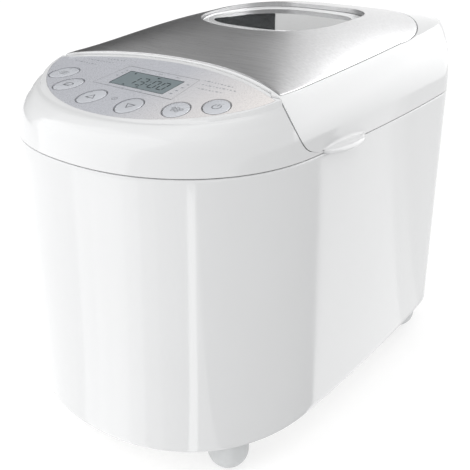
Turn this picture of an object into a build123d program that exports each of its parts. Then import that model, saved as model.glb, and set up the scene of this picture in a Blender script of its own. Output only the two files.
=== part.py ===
from build123d import *
import math
import os

# Bread machine, millimetres. +Z up, front faces -Y, origin on the table under the centre.
# Heights below are measured from a level LIFT above the table, and save() moves each part up.
os.makedirs("parts", exist_ok=True)

# ---- driving dimensions -------------------------------------------------------------
FRONT_Y = -185.0        # front of the body at the centre line
BACK_Y = 181.0          # back of the body at the centre line
GLAND_Y = 185.0         # outermost face of the cord gland
GLAND_X, GLAND_Z = 40.0, 40.0
VENT_X = (-51, -29, -7, 15, 37)     # left ends of the vents in the back
VENT_W = 14
VENT_ZS = (150, 160)
LIFT = 11.2             # how far the feet reach below the level that heights are measured from
BODY_Z0 = 15.0          # bottom edge of the body, above the feet
SEAM_Z = 215.6          # parting line between the body and the lid and cover
SEAM_GAP = 0.7          # visible gap at the parting lines
HALF_W = 112.5          # half width at the parting line
HALF_W_BASE = 115.0     # half width at the bottom
NOSE_Y = -74.6          # where the half-round front meets the sides
NOSE_Y_BASE = -67.0
NOSE_N, NOSE_M = 2.2, 2.31      # roundness of the front across and along
SIDE_R = 1932.0         # large radius of the gently bowed sides
CORNER_Y = 129.5        # where the back corners start
CORNER_R = 52.0
BACK_BOW = 2.5          # how far the back bows out
WALL = 2.5              # plastic wall thickness

PANEL_TILT = 11.0       # slope of the control panel down to the front, degrees
PANEL_Y = -112.0        # reference point on the panel plane
PANEL_Z = 251.9
PANEL_TIP_X, PANEL_TIP_Y = 98.5, -101.5
PANEL_DEPTH = 60.5      # from the tips' line to the front of the panel
OVERLAY_T = 0.6
LID_FRONT_Y = -73.5     # front edge of the lid at the centre line
LID_FRONT_BOW = 26.0    # how far that edge sweeps forward at x = 100

EDGE_X = 100.0          # half width of the steel top plate
EDGE_Z = 255.4          # height of the plate's side edge at the front
EDGE_RISE = 0.0585      # slope of that edge towards the back
CROWN = 17.8            # height of the lid's crown above its side edges
FRONT_CROWN = 2.8       # its height at the lid's front edge
CROWN_RUN = 105.0       # it grows to its full height over this length
CROWN_TOP_Y = 47.5      # from here it falls again towards the back
CROWN_FALL = 122.0
CROWN_P = 3.7           # flatness of the crown across the lid
PLATE_T = 0.8
PLATE_BACK_Y = 145.0    # back edge of the steel plate
WINDOW_Y = 41.0         # centre of the window
WINDOW_A, WINDOW_B, WINDOW_N = 57.0, 58.0, 3.0

LCD_Y = -112.0
LCD_W, LCD_D = 50.0, 22.0
BUTTON_A, BUTTON_B = 10.5, 8.4  # long and short half axes of a button
BUTTON_AIM_Y = -47.5    # the point on the centre line that the long axes point to
BUTTON_GAP = 0.3
BUTTONS = {
    "button_menu": (-70.5, -123.0),
    "button_size": (-50.0, -136.5),
    "button_up": (-17.5, -144.5),
    "button_down": (17.5, -144.5),
    "button_crust": (50.0, -136.5),
    "button_power": (70.5, -123.0),
}

PAN_Y = 42.0            # centre of the oven chamber, pan and drive
CHAMBER_A, CHAMBER_B = 88.0, 104.0
CHAMBER_FLOOR_Z, CHAMBER_TOP_Z = 64.0, 208.0
PAN_A, PAN_B, PAN_R = 68.0, 80.0, 26.0
PAN_FLOOR_Z, PAN_RIM_Z = 82.0, 196.0
PAN_WALL = 1.4
CHASSIS_Z, CHASSIS_T = 48.0, 1.5
DECK_Z, DECK_T = 208.8, 2.2
SHAFT_R = 4.0
BELT_Z = 31.0           # middle height of the belt
BIG_PULLEY_R, SMALL_PULLEY_R = 48.0, 8.0
MOTOR_Y, MOTOR_R = -112.0, 38.0
HINGE_Y, HINGE_Z = 174.0, 226.0
HINGE_PIN_R = 2.5
RUN = 0.05              # radial clearance of a running fit
FOOT_XY = (84.0, 127.0)
FOOT_R = 15.0
FOOT_FLAT = 0.4         # how much of a foot's round end is flat on the table
POST_Y = (-100.0, 104.0)   # rows of posts and screws between base and chassis
HANDLE_Z = 188.0
HANDLE_REACH = 70.0
HANDLE_R = 2.3


def save(shape, name):
    """Write one sub-part, or a list of like pieces, to its STEP file at its height above the table."""
    if isinstance(shape, list):
        shape = Compound(children=[Pos(0, 0, LIFT) * piece for piece in shape])
    else:
        shape = Pos(0, 0, LIFT) * shape
    shape.label = name
    export_step(shape, f"parts/{name}.step")


def box(x0, x1, y0, y1, z0, z1):
    return Pos((x0 + x1) / 2, (y0 + y1) / 2, (z0 + z1) / 2) * Box(x1 - x0, y1 - y0, z1 - z0)


def rod(x, y, z0, z1, r):
    """Upright cylinder."""
    return Pos(x, y, (z0 + z1) / 2) * Cylinder(r, z1 - z0)


def rod_x(y, z, x0, x1, r):
    return Pos((x0 + x1) / 2, y, z) * Rot(0, 90, 0) * Cylinder(r, x1 - x0)


def rod_y(x, z, y0, y1, r):
    return Pos(x, (y0 + y1) / 2, z) * Rot(90, 0, 0) * Cylinder(r, y1 - y0)


def rounded_block(a, b, r, y, z0, z1):
    """Upright prism with a rounded rectangle as its plan, centred on x = 0."""
    return extrude(Pos(0, y, z0) * RectangleRounded(2 * a, 2 * b, r), z1 - z0)


def tray(a, b, r, y, z0, z1, wall):
    """Open-topped box of sheet: a floor and four walls."""
    return rounded_block(a, b, r, y, z0, z1) - rounded_block(a - wall, b - wall, r - wall, y, z0 + wall, z1 + 1)


def fused(pieces):
    """Join pieces that touch into one shape."""
    whole = pieces[0]
    for piece in pieces[1:]:
        whole = whole + piece
    return whole


# ---- outer surfaces -----------------------------------------------------------------
def superellipse(a, b, n, m, angle):
    c, s = math.cos(angle), math.sin(angle)
    return (
        a * math.copysign(abs(c) ** (2 / n), c),
        b * math.copysign(abs(s) ** (2 / m), s),
    )


def plan_face(level, side=0.0, front=0.0, back=0.0, base=False):
    """Plan of the machine at one height, moved in at the sides, front and back. level(y) gives z."""
    w = (HALF_W_BASE if base else HALF_W) - side
    nose = NOSE_Y_BASE if base else NOSE_Y
    depth = nose - FRONT_Y - front
    corner_x = w - (CORNER_Y - nose) ** 2 / (2 * SIDE_R)
    mid_y = (nose + CORNER_Y) / 2
    mid_x = w - (mid_y - nose) ** 2 / (2 * SIDE_R)
    back_y = BACK_Y - back
    back_x = HALF_W - 8.0 - CORNER_R
    slope = (CORNER_Y - nose) / SIDE_R

    def at(x, y):
        return (x, y, level(y))

    steps = 24
    nose_points = [superellipse(w, depth, NOSE_N, NOSE_M, math.pi * (1 + k / steps)) for k in range(steps + 1)]
    nose_curve = Spline([at(x, nose + y) for x, y in nose_points])
    right = ThreePointArc(at(w, nose), at(mid_x, mid_y), at(corner_x, CORNER_Y))
    left = ThreePointArc(at(-corner_x, CORNER_Y), at(-mid_x, mid_y), at(-w, nose))
    reach_y = 0.56 * (back_y - CORNER_Y)
    reach_x = 0.56 * (corner_x - back_x)
    end_slope = 2 * BACK_BOW / back_x
    corner = [
        (corner_x, CORNER_Y),
        (corner_x - slope * reach_y, CORNER_Y + reach_y),
        (back_x + reach_x, back_y - BACK_BOW - end_slope * reach_x),
        (back_x, back_y - BACK_BOW),
    ]
    turn_r = Bezier(*[at(x, y) for x, y in corner])
    turn_l = Bezier(*[at(-x, y) for x, y in reversed(corner)])
    rear = ThreePointArc(
        at(back_x, back_y - BACK_BOW), at(0, back_y), at(-back_x, back_y - BACK_BOW)
    )
    return make_face([nose_curve, right, turn_r, rear, turn_l, left])


def flat(z):
    return lambda y: z


def sloped(z_front, z_back, y_front=-102.0, y_back=168.0):
    return lambda y: z_front + (z_back - z_front) * (y - y_front) / (y_back - y_front)


def body_form(inset, z0, z1):
    """Body prism between two heights, which narrows by the body's small taper."""
    return loft([
        plan_face(flat(z0), inset, inset, inset, base=True),
        plan_face(flat(z1), inset, inset, inset),
    ], ruled=True)


def side_inset(rise_share):
    """How far the lid's side has rounded in at a share of its height."""
    return 23.5 * (1 - math.sqrt(1 - (0.884 * rise_share) ** 2))


def lid_form(inset, z0):
    """Rounded-in sides of the lid, open-ended above its top surface."""
    faces = [plan_face(flat(z0), inset, inset, inset)]
    rear_rise = edge_height(168.0) - SEAM_Z
    front_rise = EDGE_Z - SEAM_Z
    for share in (0.36, 0.68, 0.89, 1.0):
        i = inset + side_inset(share)
        level = sloped(SEAM_Z + share * front_rise, SEAM_Z + share * rear_rise)
        faces.append(plan_face(level, i, 1.5 * i, i))
    i = inset + 15.5
    faces.append(plan_face(sloped(EDGE_Z + 6, EDGE_Z + 20), i, 1.5 * i, i))
    i = inset + 17.0
    faces.append(plan_face(sloped(EDGE_Z + 34, EDGE_Z + 48), i, 1.5 * i, i))
    return loft(faces, ruled=True)


def cover_form(inset, z0):
    """Front cover's dome, open-ended above the control panel."""
    return loft([
        plan_face(flat(z0), inset, inset, inset),
        plan_face(sloped(229.9, 232.0), inset + 1.2, inset + 3.1, inset + 1.2),
        plan_face(sloped(236.8, 242.0), inset + 2.6, inset + 6.8, inset + 2.6),
        plan_face(sloped(242.4, 253.0), inset + 4.6, inset + 12.0, inset + 4.6),
        plan_face(sloped(247.4, 267.0), inset + 6.8, inset + 17.0, inset + 6.8),
        plan_face(sloped(251.0, 290.0), inset + 9.0, inset + 22.5, inset + 9.0),
        plan_face(sloped(257.0, 296.0), inset + 13.0, inset + 36.0, inset + 13.0),
        plan_face(sloped(290.0, 329.0), inset + 16.0, inset + 44.0, inset + 16.0),
    ], ruled=True)


def lid_front(x):
    """Front edge of the lid in plan."""
    return LID_FRONT_Y - LID_FRONT_BOW * (x / 100) ** 2


def edge_height(y):
    """Height of the steel plate's side edge."""
    return EDGE_Z + EDGE_RISE * (y - PANEL_TIP_Y)


def edge_half_width(y):
    """Half width of the steel plate, which follows the bowed sides."""
    return EDGE_X - max(0.0, y - NOSE_Y) ** 2 / (2 * SIDE_R)


def top_height(x, y):
    """Crowned top of the lid."""
    t = max(0.0, min(CROWN_RUN, y - lid_front(x)))
    crown = FRONT_CROWN + (CROWN - FRONT_CROWN) * (1 - (1 - t / CROWN_RUN) ** 2.2)
    if y > CROWN_TOP_Y:
        crown *= max(0.0, 1 - ((y - CROWN_TOP_Y) / CROWN_FALL) ** 1.5)
    return edge_height(y) + crown * (1 - min(1.15, abs(x) / edge_half_width(y)) ** CROWN_P)


def under_top(drop):
    """Everything below the lid's crowned top, lowered by drop."""
    xs = [-112 + 14 * k for k in range(17)]
    ys = [-116 + 15 * k for k in range(21)]
    grid = [[Vector(x, y, top_height(x, y) - drop) for y in ys] for x in xs]
    skin = Face.make_surface_from_array_of_points(grid, tol=0.02)
    return Solid.extrude(skin, Vector(0, 0, -120))


def panel_height(y):
    return PANEL_Z + (y - PANEL_Y) * math.tan(math.radians(PANEL_TILT))


def panel_plane(drop=0.0):
    """Working plane of the panel: x across, y up the slope, z out of it."""
    tilt = math.radians(PANEL_TILT)
    centre = Vector(0, PANEL_Y, PANEL_Z) - Vector(0, -math.sin(tilt), math.cos(tilt)) * drop
    return Plane(origin=centre, x_dir=(1, 0, 0), z_dir=(0, -math.sin(tilt), math.cos(tilt)))


def on_panel(x, y):
    """Plan position to panel-plane position."""
    return (x, (y - PANEL_Y) / math.cos(math.radians(PANEL_TILT)))


def panel_slab(face, low, high):
    """Solid between two depths of a face drawn in panel coordinates; positive is outwards."""
    return panel_plane(-low) * extrude(face, high - low)


def lens_face(inset):
    """Lens-shaped plan of the control panel, in panel coordinates."""
    tip_x = PANEL_TIP_X - 2.2 * inset
    front = []
    for k in range(13):
        x = tip_x * math.sin(math.radians(-90 + 15 * k))
        y = PANEL_TIP_Y - (PANEL_DEPTH - inset) * (1 - (x / tip_x) ** 2) ** (1 / 1.5)
        front.append(on_panel(x, y))
    back = []
    for k in range(9):
        x = tip_x * (1 - k / 4)
        share = (x / tip_x) ** 2
        y = (LID_FRONT_Y - 4.5 - inset) * (1 - share) + PANEL_TIP_Y * share
        back.append(on_panel(x, y))
    return make_face([Spline(front), Spline(back)])


def button_face(x, y, grow):
    """Oval of one button, in panel coordinates, its long axis aimed at the centre line."""
    angle = math.degrees(math.atan2(y - BUTTON_AIM_Y, x))
    u, v = on_panel(x, y)
    return Pos(u, v) * Rot(0, 0, angle) * Ellipse(BUTTON_A + grow, BUTTON_B + grow)


def lcd_face(grow):
    u, v = on_panel(0, LCD_Y)
    return Pos(u, v) * RectangleRounded(LCD_W + 2 * grow, LCD_D + 2 * grow, 1.0 + grow)


def cover_zone(grow):
    """Space of the front cover: ahead of the lid's front edge, with a sweep back at each side."""
    xs = [-130 + 13 * k for k in range(21)]
    edge = Spline([(x, lid_front(x) - SEAM_GAP + grow) for x in xs])
    far = Polyline(
        (xs[-1], lid_front(xs[-1]) - SEAM_GAP + grow),
        (xs[-1], -200),
        (xs[0], -200),
        (xs[0], lid_front(xs[0]) - SEAM_GAP + grow),
    )
    middle = Pos(0, 0, 190) * extrude(make_face([edge, far]), 120)
    g = grow
    sweep = Spline(
        [(-99.0 + g, 262.0), (-98.5 + g, 247.0 + g), (-94.0 + g, 233.5 + g), (-85.5 + g, 222.0 + g),
         (-72.5 + g, 217.3 + g)],
        tangents=[(0.0, -1), (1, -0.12)],
    )
    rest = Polyline(
        (-72.5 + g, 217.3 + g), (-69.4 + g, 216.0 + g), (-69.4 + g, 205.0), (-130, 205), (-130, 262), (-99.0 + g, 262))
    profile = Plane(origin=(0, 0, 0), x_dir=(0, 1, 0), z_dir=(1, 0, 0)) * make_face([sweep, rest])
    lobe = Pos(96.5 - g, 0, 0) * extrude(profile, 40)
    return middle + lobe + lobe.mirror(Plane.YZ)


# ---- outside parts ------------------------------------------------------------------
def make_body_housing():
    """Tall shell, open at the top, with a ledge at the bottom that the base plate screws to."""
    shell = body_form(0, BODY_Z0, SEAM_Z - SEAM_GAP / 2) - body_form(WALL, BODY_Z0 - 1, SEAM_Z + 2)
    shell = shell - rod_y(GLAND_X, GLAND_Z, BACK_Y - 20, BACK_Y + 10, 8.0)
    for x in VENT_X:
        for z in VENT_ZS:
            shell = shell - box(x, x + VENT_W, BACK_Y - 12, BACK_Y + 5, z, z + 3)
    save(shell, "body_housing")


def make_front_cover():
    """Domed shell over the front, with a wall behind the panel and a seat for the overlay."""
    z0 = SEAM_Z + SEAM_GAP / 2
    under_panel = panel_plane() * Pos(0, 0, -60) * Box(300, 300, 120)
    outer = cover_form(0, z0) & under_panel
    inner_top = panel_plane(WALL) * Pos(0, 0, -60) * Box(300, 300, 120)
    inner = cover_form(WALL, z0 - 1) & inner_top & cover_zone(-WALL)
    cover = (outer & cover_zone(0)) - inner
    cover = cover - panel_slab(lens_face(-0.15), -OVERLAY_T, 5)
    cover = cover - panel_slab(lcd_face(1.5), -10, 5)
    for x, y in BUTTONS.values():
        cover = cover - panel_slab(button_face(x, y, BUTTON_GAP), -10, 5)
    save(cover, "front_cover")


def make_panel():
    overlay = panel_slab(lens_face(0), -OVERLAY_T, 0) - panel_slab(lcd_face(0.1), -5, 5)
    for x, y in BUTTONS.values():
        overlay = overlay - panel_slab(button_face(x, y, BUTTON_GAP), -5, 5)
    save(overlay, "panel_overlay")
    save(panel_slab(lcd_face(0), -1.8, -0.1), "lcd_window")
    u, v = on_panel(0, LCD_Y)
    module = panel_slab(Pos(u, v) * Rectangle(LCD_W + 2, LCD_D + 2), -6.0, -2.6)
    pins = [
        panel_slab(Pos(u + dx, v + LCD_D / 2) * Circle(0.6), -11.4, -6.0) for dx in (-20, -10, 0, 10, 20)
    ]
    save(fused([module] + pins), "lcd_module")
    for name, (x, y) in BUTTONS.items():
        u, v = on_panel(x, y)
        cap = panel_slab(button_face(x, y, 0), -3.5, 0)
        stem = panel_slab(Pos(u, v) * Circle(2.0), -7.2, -3.5)
        save(cap + stem, name)
    outline = Polyline(
        on_panel(-58, -147), on_panel(58, -147), on_panel(80, -124), on_panel(84, -104),
        on_panel(-84, -104), on_panel(-80, -124), on_panel(-58, -147),
    )
    board = panel_slab(make_face(outline), -13.0, -11.4)
    save(board, "control_board")
    switches = []
    for x, y in BUTTONS.values():
        u, v = on_panel(x, y)
        body = panel_slab(Pos(u, v) * Rectangle(6, 6), -11.4, -8.8)
        switches.append(body)
    save(switches, "tact_switches")


def window_face(grow, y_shift=0.0):
    points = [superellipse(WINDOW_A + grow, WINDOW_B + grow, WINDOW_N, WINDOW_N, math.radians(10 * k)) for k in range(36)]
    return Pos(0, WINDOW_Y + y_shift) * make_face([Spline(points, periodic=True)])


def window_prism(grow, z0, z1):
    return Pos(0, 0, z0) * extrude(window_face(grow), z1 - z0)


def plate_prism(inset):
    """Upright prism on the steel plate's plan."""
    w = EDGE_X - inset
    front_y = lid_front(w) + 1.5 + inset
    corner_y = 60.0
    corner_w = edge_half_width(corner_y) - inset
    mid_y = (front_y + corner_y) / 2
    mid_w = edge_half_width(mid_y) - inset
    xs = [w * (1 - k / 6) for k in range(13)]
    front = Spline([(x, lid_front(x) + 1.5 + inset) for x in xs])
    steps = 16
    depth = PLATE_BACK_Y - inset - corner_y
    rear_points = [superellipse(corner_w, depth, 2.3, 2.3, math.pi * k / steps) for k in range(steps + 1)]
    rear = Spline([(x, corner_y + y) for x, y in rear_points])
    right = ThreePointArc((w, front_y), (mid_w, mid_y), (corner_w, corner_y))
    left = ThreePointArc((-corner_w, corner_y), (-mid_w, mid_y), (-w, front_y))
    return Pos(0, 0, 225) * extrude(make_face([front, left, rear, right]), 90)


def make_lid():
    z0 = SEAM_Z + SEAM_GAP / 2
    outer = lid_form(0, z0) & under_top(0)
    inner = lid_form(WALL, z0 - 1) & under_top(WALL)
    shell = outer - inner
    keep_out = cover_zone(SEAM_GAP)
    wall_zone = cover_zone(SEAM_GAP + WALL)
    front_wall = (outer & wall_zone) - keep_out
    shell = (shell - keep_out) + front_wall
    shell = shell - (plate_prism(-0.1) - under_top(PLATE_T + 0.1))
    shell = shell - window_prism(0.1, 200, 320)
    tab = Pos(HALF_W - 1.5, -42.0, z0) * extrude(Ellipse(10.0, 25.6), 4.6)
    tab = tab & box(HALF_W - 2.2, HALF_W + 20, -80, 0, z0, z0 + 10)
    shell = shell + tab + tab.mirror(Plane.YZ)
    hinge_relief = box(-78, 78, HINGE_Y - 8, BACK_Y + 5, z0 - 2, HINGE_Z + 9)
    shell = shell - hinge_relief
    save(shell, "lid_shell")

    plate = (plate_prism(0) & under_top(0)) - under_top(PLATE_T)
    plate = plate - window_prism(0, 200, 320)
    save(plate, "lid_plate")

    ring = window_prism(-0.2, 262, 279.0) - window_prism(-9.5, 255, 300)
    ring = (ring & under_top(PLATE_T + 1.2)) - (window_prism(-5, 271.6, 300))
    save(ring, "window_bezel")
    save(window_prism(-5.2, 271.7, 275.0), "window_glass")


def make_lid_inside():
    flange_z = SEAM_Z + 2.2
    rim = plan_face(flat(flange_z), 5.5, 5.5, 9.0)
    flange = extrude(rim, 1.6)
    flange = flange - cover_zone(SEAM_GAP + WALL + 0.8)
    recess_top = 243.0
    hat = rounded_block(93, 108, 34, PAN_Y, flange_z, recess_top)
    hollow = rounded_block(91.5, 106.5, 32.5, PAN_Y, flange_z - 1, recess_top - 1.5)
    liner = (flange + hat) - hollow - rounded_block(47, 47, 16, WINDOW_Y, recess_top - 5, recess_top + 5)
    liner = liner - box(-80, 80, HINGE_Y - 9, BACK_Y + 5, flange_z - 5, HINGE_Z + 9)
    save(liner, "lid_liner")
    pane = rounded_block(54, 54, 20, WINDOW_Y, recess_top + 0.1, recess_top + 4.1)
    save(pane, "lid_inner_glass")
    seal = rounded_block(98, 111.5, 39, PAN_Y, SEAM_Z - 0.2, flange_z)
    seal = seal - rounded_block(94.5, 108, 35.5, PAN_Y, SEAM_Z - 1, flange_z + 1)
    save(seal, "lid_seal")
    knuckles = []
    for x in (-58, 58):
        barrel = rod_x(HINGE_Y, HINGE_Z, x - 10, x + 10, 6.0)
        arm = box(x - 10, x + 10, HINGE_Y - 16, HINGE_Y, HINGE_Z - 3.0, HINGE_Z + 3.0)
        foot = box(x - 10, x + 10, HINGE_Y - 22, HINGE_Y - 12, flange_z + 1.6, HINGE_Z + 3.0)
        knuckle = (barrel + arm + foot) - rod_x(HINGE_Y, HINGE_Z, x - 30, x + 30, HINGE_PIN_R + RUN)
        knuckles.append(knuckle)
    save(knuckles, "lid_knuckles")


def make_hinge():
    blocks = []
    for x in (-40, 40):
        post = box(x - 6, x + 6, HINGE_Y - 5.5, HINGE_Y + 2.4, DECK_Z + DECK_T, HINGE_Z)
        barrel = rod_x(HINGE_Y, HINGE_Z, x - 6, x + 6, 5.5)
        blocks.append((post + barrel) - rod_x(HINGE_Y, HINGE_Z, x - 20, x + 20, HINGE_PIN_R))
    save(blocks, "hinge_brackets")
    save(rod_x(HINGE_Y, HINGE_Z, -70, 70, HINGE_PIN_R), "hinge_pin")


# ---- oven, pan and drive ------------------------------------------------------------
def make_deck():
    deck = extrude(plan_face(flat(DECK_Z), 2.9, 2.9, 2.9), DECK_T)
    deck = deck - rounded_block(CHAMBER_A - 0.8, CHAMBER_B - 0.8, 29, PAN_Y, DECK_Z - 5, DECK_Z + 9)
    save(deck, "top_deck")


def make_chamber():
    chamber = tray(CHAMBER_A, CHAMBER_B, 30, PAN_Y, CHAMBER_FLOOR_Z, CHAMBER_TOP_Z, 0.8)
    lip = rounded_block(CHAMBER_A + 7, CHAMBER_B + 7, 37, PAN_Y, CHAMBER_TOP_Z, CHAMBER_TOP_Z + 0.8)
    lip = lip - rounded_block(CHAMBER_A - 0.8, CHAMBER_B - 0.8, 29.2, PAN_Y, CHAMBER_TOP_Z - 1, CHAMBER_TOP_Z + 2)
    chamber = chamber + lip
    chamber = chamber - rod(0, PAN_Y, CHAMBER_FLOOR_Z - 5, CHAMBER_FLOOR_Z + 5, 12)
    for x in (-60, 60):
        chamber = chamber - rod_y(x, 92, PAN_Y + CHAMBER_B - 5, PAN_Y + CHAMBER_B + 5, 4.6)
    chamber = chamber - rod_y(0, 120, PAN_Y - CHAMBER_B - 5, PAN_Y - CHAMBER_B + 5, 3.2)
    save(chamber, "oven_chamber")
    posts = []
    for x in (-66, 66):
        for y in (PAN_Y - 82, PAN_Y + 82):
            posts.append(rod(x, y, CHASSIS_Z + CHASSIS_T, CHAMBER_FLOOR_Z, 6))
    save(posts, "chamber_standoffs")
    seat = rod(0, PAN_Y, CHAMBER_FLOOR_Z + 0.8, CHAMBER_FLOOR_Z + 8.0, 44)
    seat = seat - rod(0, PAN_Y, CHAMBER_FLOOR_Z + 3.4, CHAMBER_FLOOR_Z + 20, 39)
    seat = seat - rod(0, PAN_Y, CHAMBER_FLOOR_Z - 5, CHAMBER_FLOOR_Z + 20, 12)
    save(seat, "pan_seat")


def make_heater():
    """Tube bent round the foot of the pan, its two cold ends through the back wall."""
    z = 92.0
    a, b = 79.0, 93.0
    path = FilletPolyline(
        (60, PAN_Y + CHAMBER_B + 14, z), (60, PAN_Y + b, z), (a, PAN_Y + b, z), (a, PAN_Y - b, z),
        (-a, PAN_Y - b, z), (-a, PAN_Y + b, z), (-60, PAN_Y + b, z), (-60, PAN_Y + CHAMBER_B + 14, z),
        radius=8.5,
    )
    tube = sweep(Plane(origin=path @ 0, z_dir=path % 0) * Circle(3.3), path=path)
    save(tube, "heating_element")
    glands = []
    for x in (-60, 60):
        sleeve = rod_y(x, z, PAN_Y + CHAMBER_B - 2.5, PAN_Y + CHAMBER_B + 7, 4.6) - rod_y(
            x, z, PAN_Y + CHAMBER_B - 5, PAN_Y + CHAMBER_B + 12, 3.3)
        glands.append(sleeve)
    save(glands, "heater_bushings")
    clips = []
    for x, side in ((-a, -1), (a, 1)):
        for y in (PAN_Y - 40, PAN_Y + 40):
            wall_x = side * (CHAMBER_A - 0.8)
            low, high = sorted((x, wall_x))
            strap = box(low, high, y - 5, y + 5, z - 4.6, z - 3.4) + box(
                min(wall_x, wall_x - side), max(wall_x, wall_x - side), y - 5, y + 5, z - 4.6, z + 12)
            clips.append(strap)
    save(clips, "heater_clips")


def make_sensors():
    y = PAN_Y - CHAMBER_B
    probe = rod_y(0, 120, y - 14, y + 12, 3.2) + rod_y(0, 120, y - 4, y - 0.1, 9)
    save(probe, "temperature_sensor")
    fuse = rod_x(PAN_Y + CHAMBER_B + 6, 150, -14, 14, 4)
    saddle = box(-20, 20, PAN_Y + CHAMBER_B + 0.05, PAN_Y + CHAMBER_B + 2.4, 144, 156)
    save(fuse + saddle, "thermal_fuse")


def make_pan():
    pan = tray(PAN_A, PAN_B, PAN_R, PAN_Y, PAN_FLOOR_Z, PAN_RIM_Z, PAN_WALL)
    rim = rounded_block(PAN_A + 3.2, PAN_B + 3.2, PAN_R + 3.2, PAN_Y, PAN_RIM_Z - 3.0, PAN_RIM_Z)
    rim = rim - rounded_block(PAN_A - PAN_WALL, PAN_B - PAN_WALL, PAN_R - PAN_WALL, PAN_Y, PAN_RIM_Z - 6, PAN_RIM_Z + 2)
    pan = pan + rim
    for side in (-1, 1):
        low, high = sorted((side * (PAN_A - 0.2), side * (PAN_A + 3.4)))
        ear = box(low, high, PAN_Y - 8, PAN_Y + 8, HANDLE_Z - 8, PAN_RIM_Z)
        pan = pan + ear
        pan = pan - rod_x(PAN_Y, HANDLE_Z, *sorted((side * (PAN_A + 0.2), side * (PAN_A + 9))), HANDLE_R + RUN)
    pan = pan - rod(0, PAN_Y, PAN_FLOOR_Z - 5, PAN_FLOOR_Z + 5, 9.0)
    save(pan, "bread_pan")
    base = rod(0, PAN_Y, CHAMBER_FLOOR_Z + 3.5, PAN_FLOOR_Z, 38.4) - rod(0, PAN_Y, 60, PAN_FLOOR_Z - 2.0, 35.4)
    base = base - rod(0, PAN_Y, 60, PAN_FLOOR_Z + 1, 9.0)
    save(base, "pan_base")
    bush = rod(0, PAN_Y, PAN_FLOOR_Z - 6, PAN_FLOOR_Z + 4.5, 9.0) - rod(0, PAN_Y, 60, 120, SHAFT_R + RUN)
    save(bush, "shaft_seal")


def make_handle():
    """Wire bail, folded forward onto the pan, its ends turned into the pan's ears."""
    x = PAN_A + 7.4
    tip = PAN_Y - HANDLE_REACH
    inner = PAN_A + 0.5
    path = FilletPolyline(
        (inner, PAN_Y, HANDLE_Z), (x, PAN_Y, HANDLE_Z), (x, tip + 8, HANDLE_Z + 13),
        (-x, tip + 8, HANDLE_Z + 13), (-x, PAN_Y, HANDLE_Z), (-inner, PAN_Y, HANDLE_Z),
        radius=3.4,
    )
    bail = sweep(Plane(origin=path @ 0, z_dir=path % 0) * Circle(HANDLE_R), path=path)
    save(bail, "pan_handle")


def make_drive():
    shaft = rod(0, PAN_Y, 23.0, CHAMBER_FLOOR_Z + 6, SHAFT_R)
    save(shaft, "drive_shaft")
    dog = rod(0, PAN_Y, CHAMBER_FLOOR_Z + 4.0, CHAMBER_FLOOR_Z + 9.5, 7.0)
    dog = dog + box(-13, 13, PAN_Y - 2.5, PAN_Y + 2.5, CHAMBER_FLOOR_Z + 6.5, CHAMBER_FLOOR_Z + 9.5)
    dog = dog - rod(0, PAN_Y, 60, CHAMBER_FLOOR_Z + 6, SHAFT_R)
    save(dog, "drive_dog")
    wing = rod(0, PAN_Y, CHAMBER_FLOOR_Z + 9.6, CHAMBER_FLOOR_Z + 11.8, 7.0)
    for side in (-1, 1):
        low, high = sorted((side * 3.0, side * 12.0))
        wing = wing + box(low, high, PAN_Y - 6.5, PAN_Y + 6.5, CHAMBER_FLOOR_Z + 9.6, CHAMBER_FLOOR_Z + 11.8)
    spindle = rod(0, PAN_Y, CHAMBER_FLOOR_Z + 11.8, PAN_FLOOR_Z + 20, SHAFT_R)
    flat_cut = box(SHAFT_R - 1.2, SHAFT_R + 2, PAN_Y - 6, PAN_Y + 6, PAN_FLOOR_Z + 5.4, PAN_FLOOR_Z + 30)
    save((wing + spindle) - flat_cut, "pan_spindle")
    hub = rod(0, PAN_Y, PAN_FLOOR_Z + 5.4, PAN_FLOOR_Z + 24, 8.5)
    blade_path = [(5.0, -3.5), (46.0, -3.0), (52.0, 2.0), (48.0, 5.5), (20.0, 3.5), (5.0, 5.0)]
    blade = extrude(
        Plane(origin=(0, PAN_Y, PAN_FLOOR_Z + 5.6), x_dir=(1, 0, 0), z_dir=(0, 0, 1)) * Polygon(*blade_path, align=None), 26)
    top = box(0, 60, PAN_Y - 10, PAN_Y + 10, PAN_FLOOR_Z + 5, PAN_FLOOR_Z + 60)
    trim = Pos(38, PAN_Y, PAN_FLOOR_Z + 43) * Rot(0, 28, 0) * Box(90, 40, 30)
    blade = (blade & top) - trim
    socket = rod(0, PAN_Y, PAN_FLOOR_Z, PAN_FLOOR_Z + 20, SHAFT_R) - flat_cut
    save((hub + blade) - socket, "kneading_paddle")
    pulley = rod(0, PAN_Y, BELT_Z - 6, BELT_Z + 6, BIG_PULLEY_R + 1.5)
    groove = rod(0, PAN_Y, BELT_Z - 4.2, BELT_Z + 4.2, BIG_PULLEY_R + 5) - rod(0, PAN_Y, 0, 60, BIG_PULLEY_R)
    pulley = pulley - groove - rod(0, PAN_Y, 0, 60, SHAFT_R)
    for k in range(6):
        angle = math.radians(60 * k)
        pulley = pulley - rod(27 * math.cos(angle), PAN_Y + 27 * math.sin(angle), 0, 60, 9)
    save(pulley, "large_pulley")
    bearing = rod(0, PAN_Y, CHASSIS_Z - 8, CHAMBER_FLOOR_Z - 1, 11)
    bearing = bearing + rod(0, PAN_Y, CHASSIS_Z + CHASSIS_T, CHASSIS_Z + CHASSIS_T + 3, 22)
    bearing = bearing - rod(0, PAN_Y, 20, 100, SHAFT_R + RUN)
    save(bearing, "drive_bearing")


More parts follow.
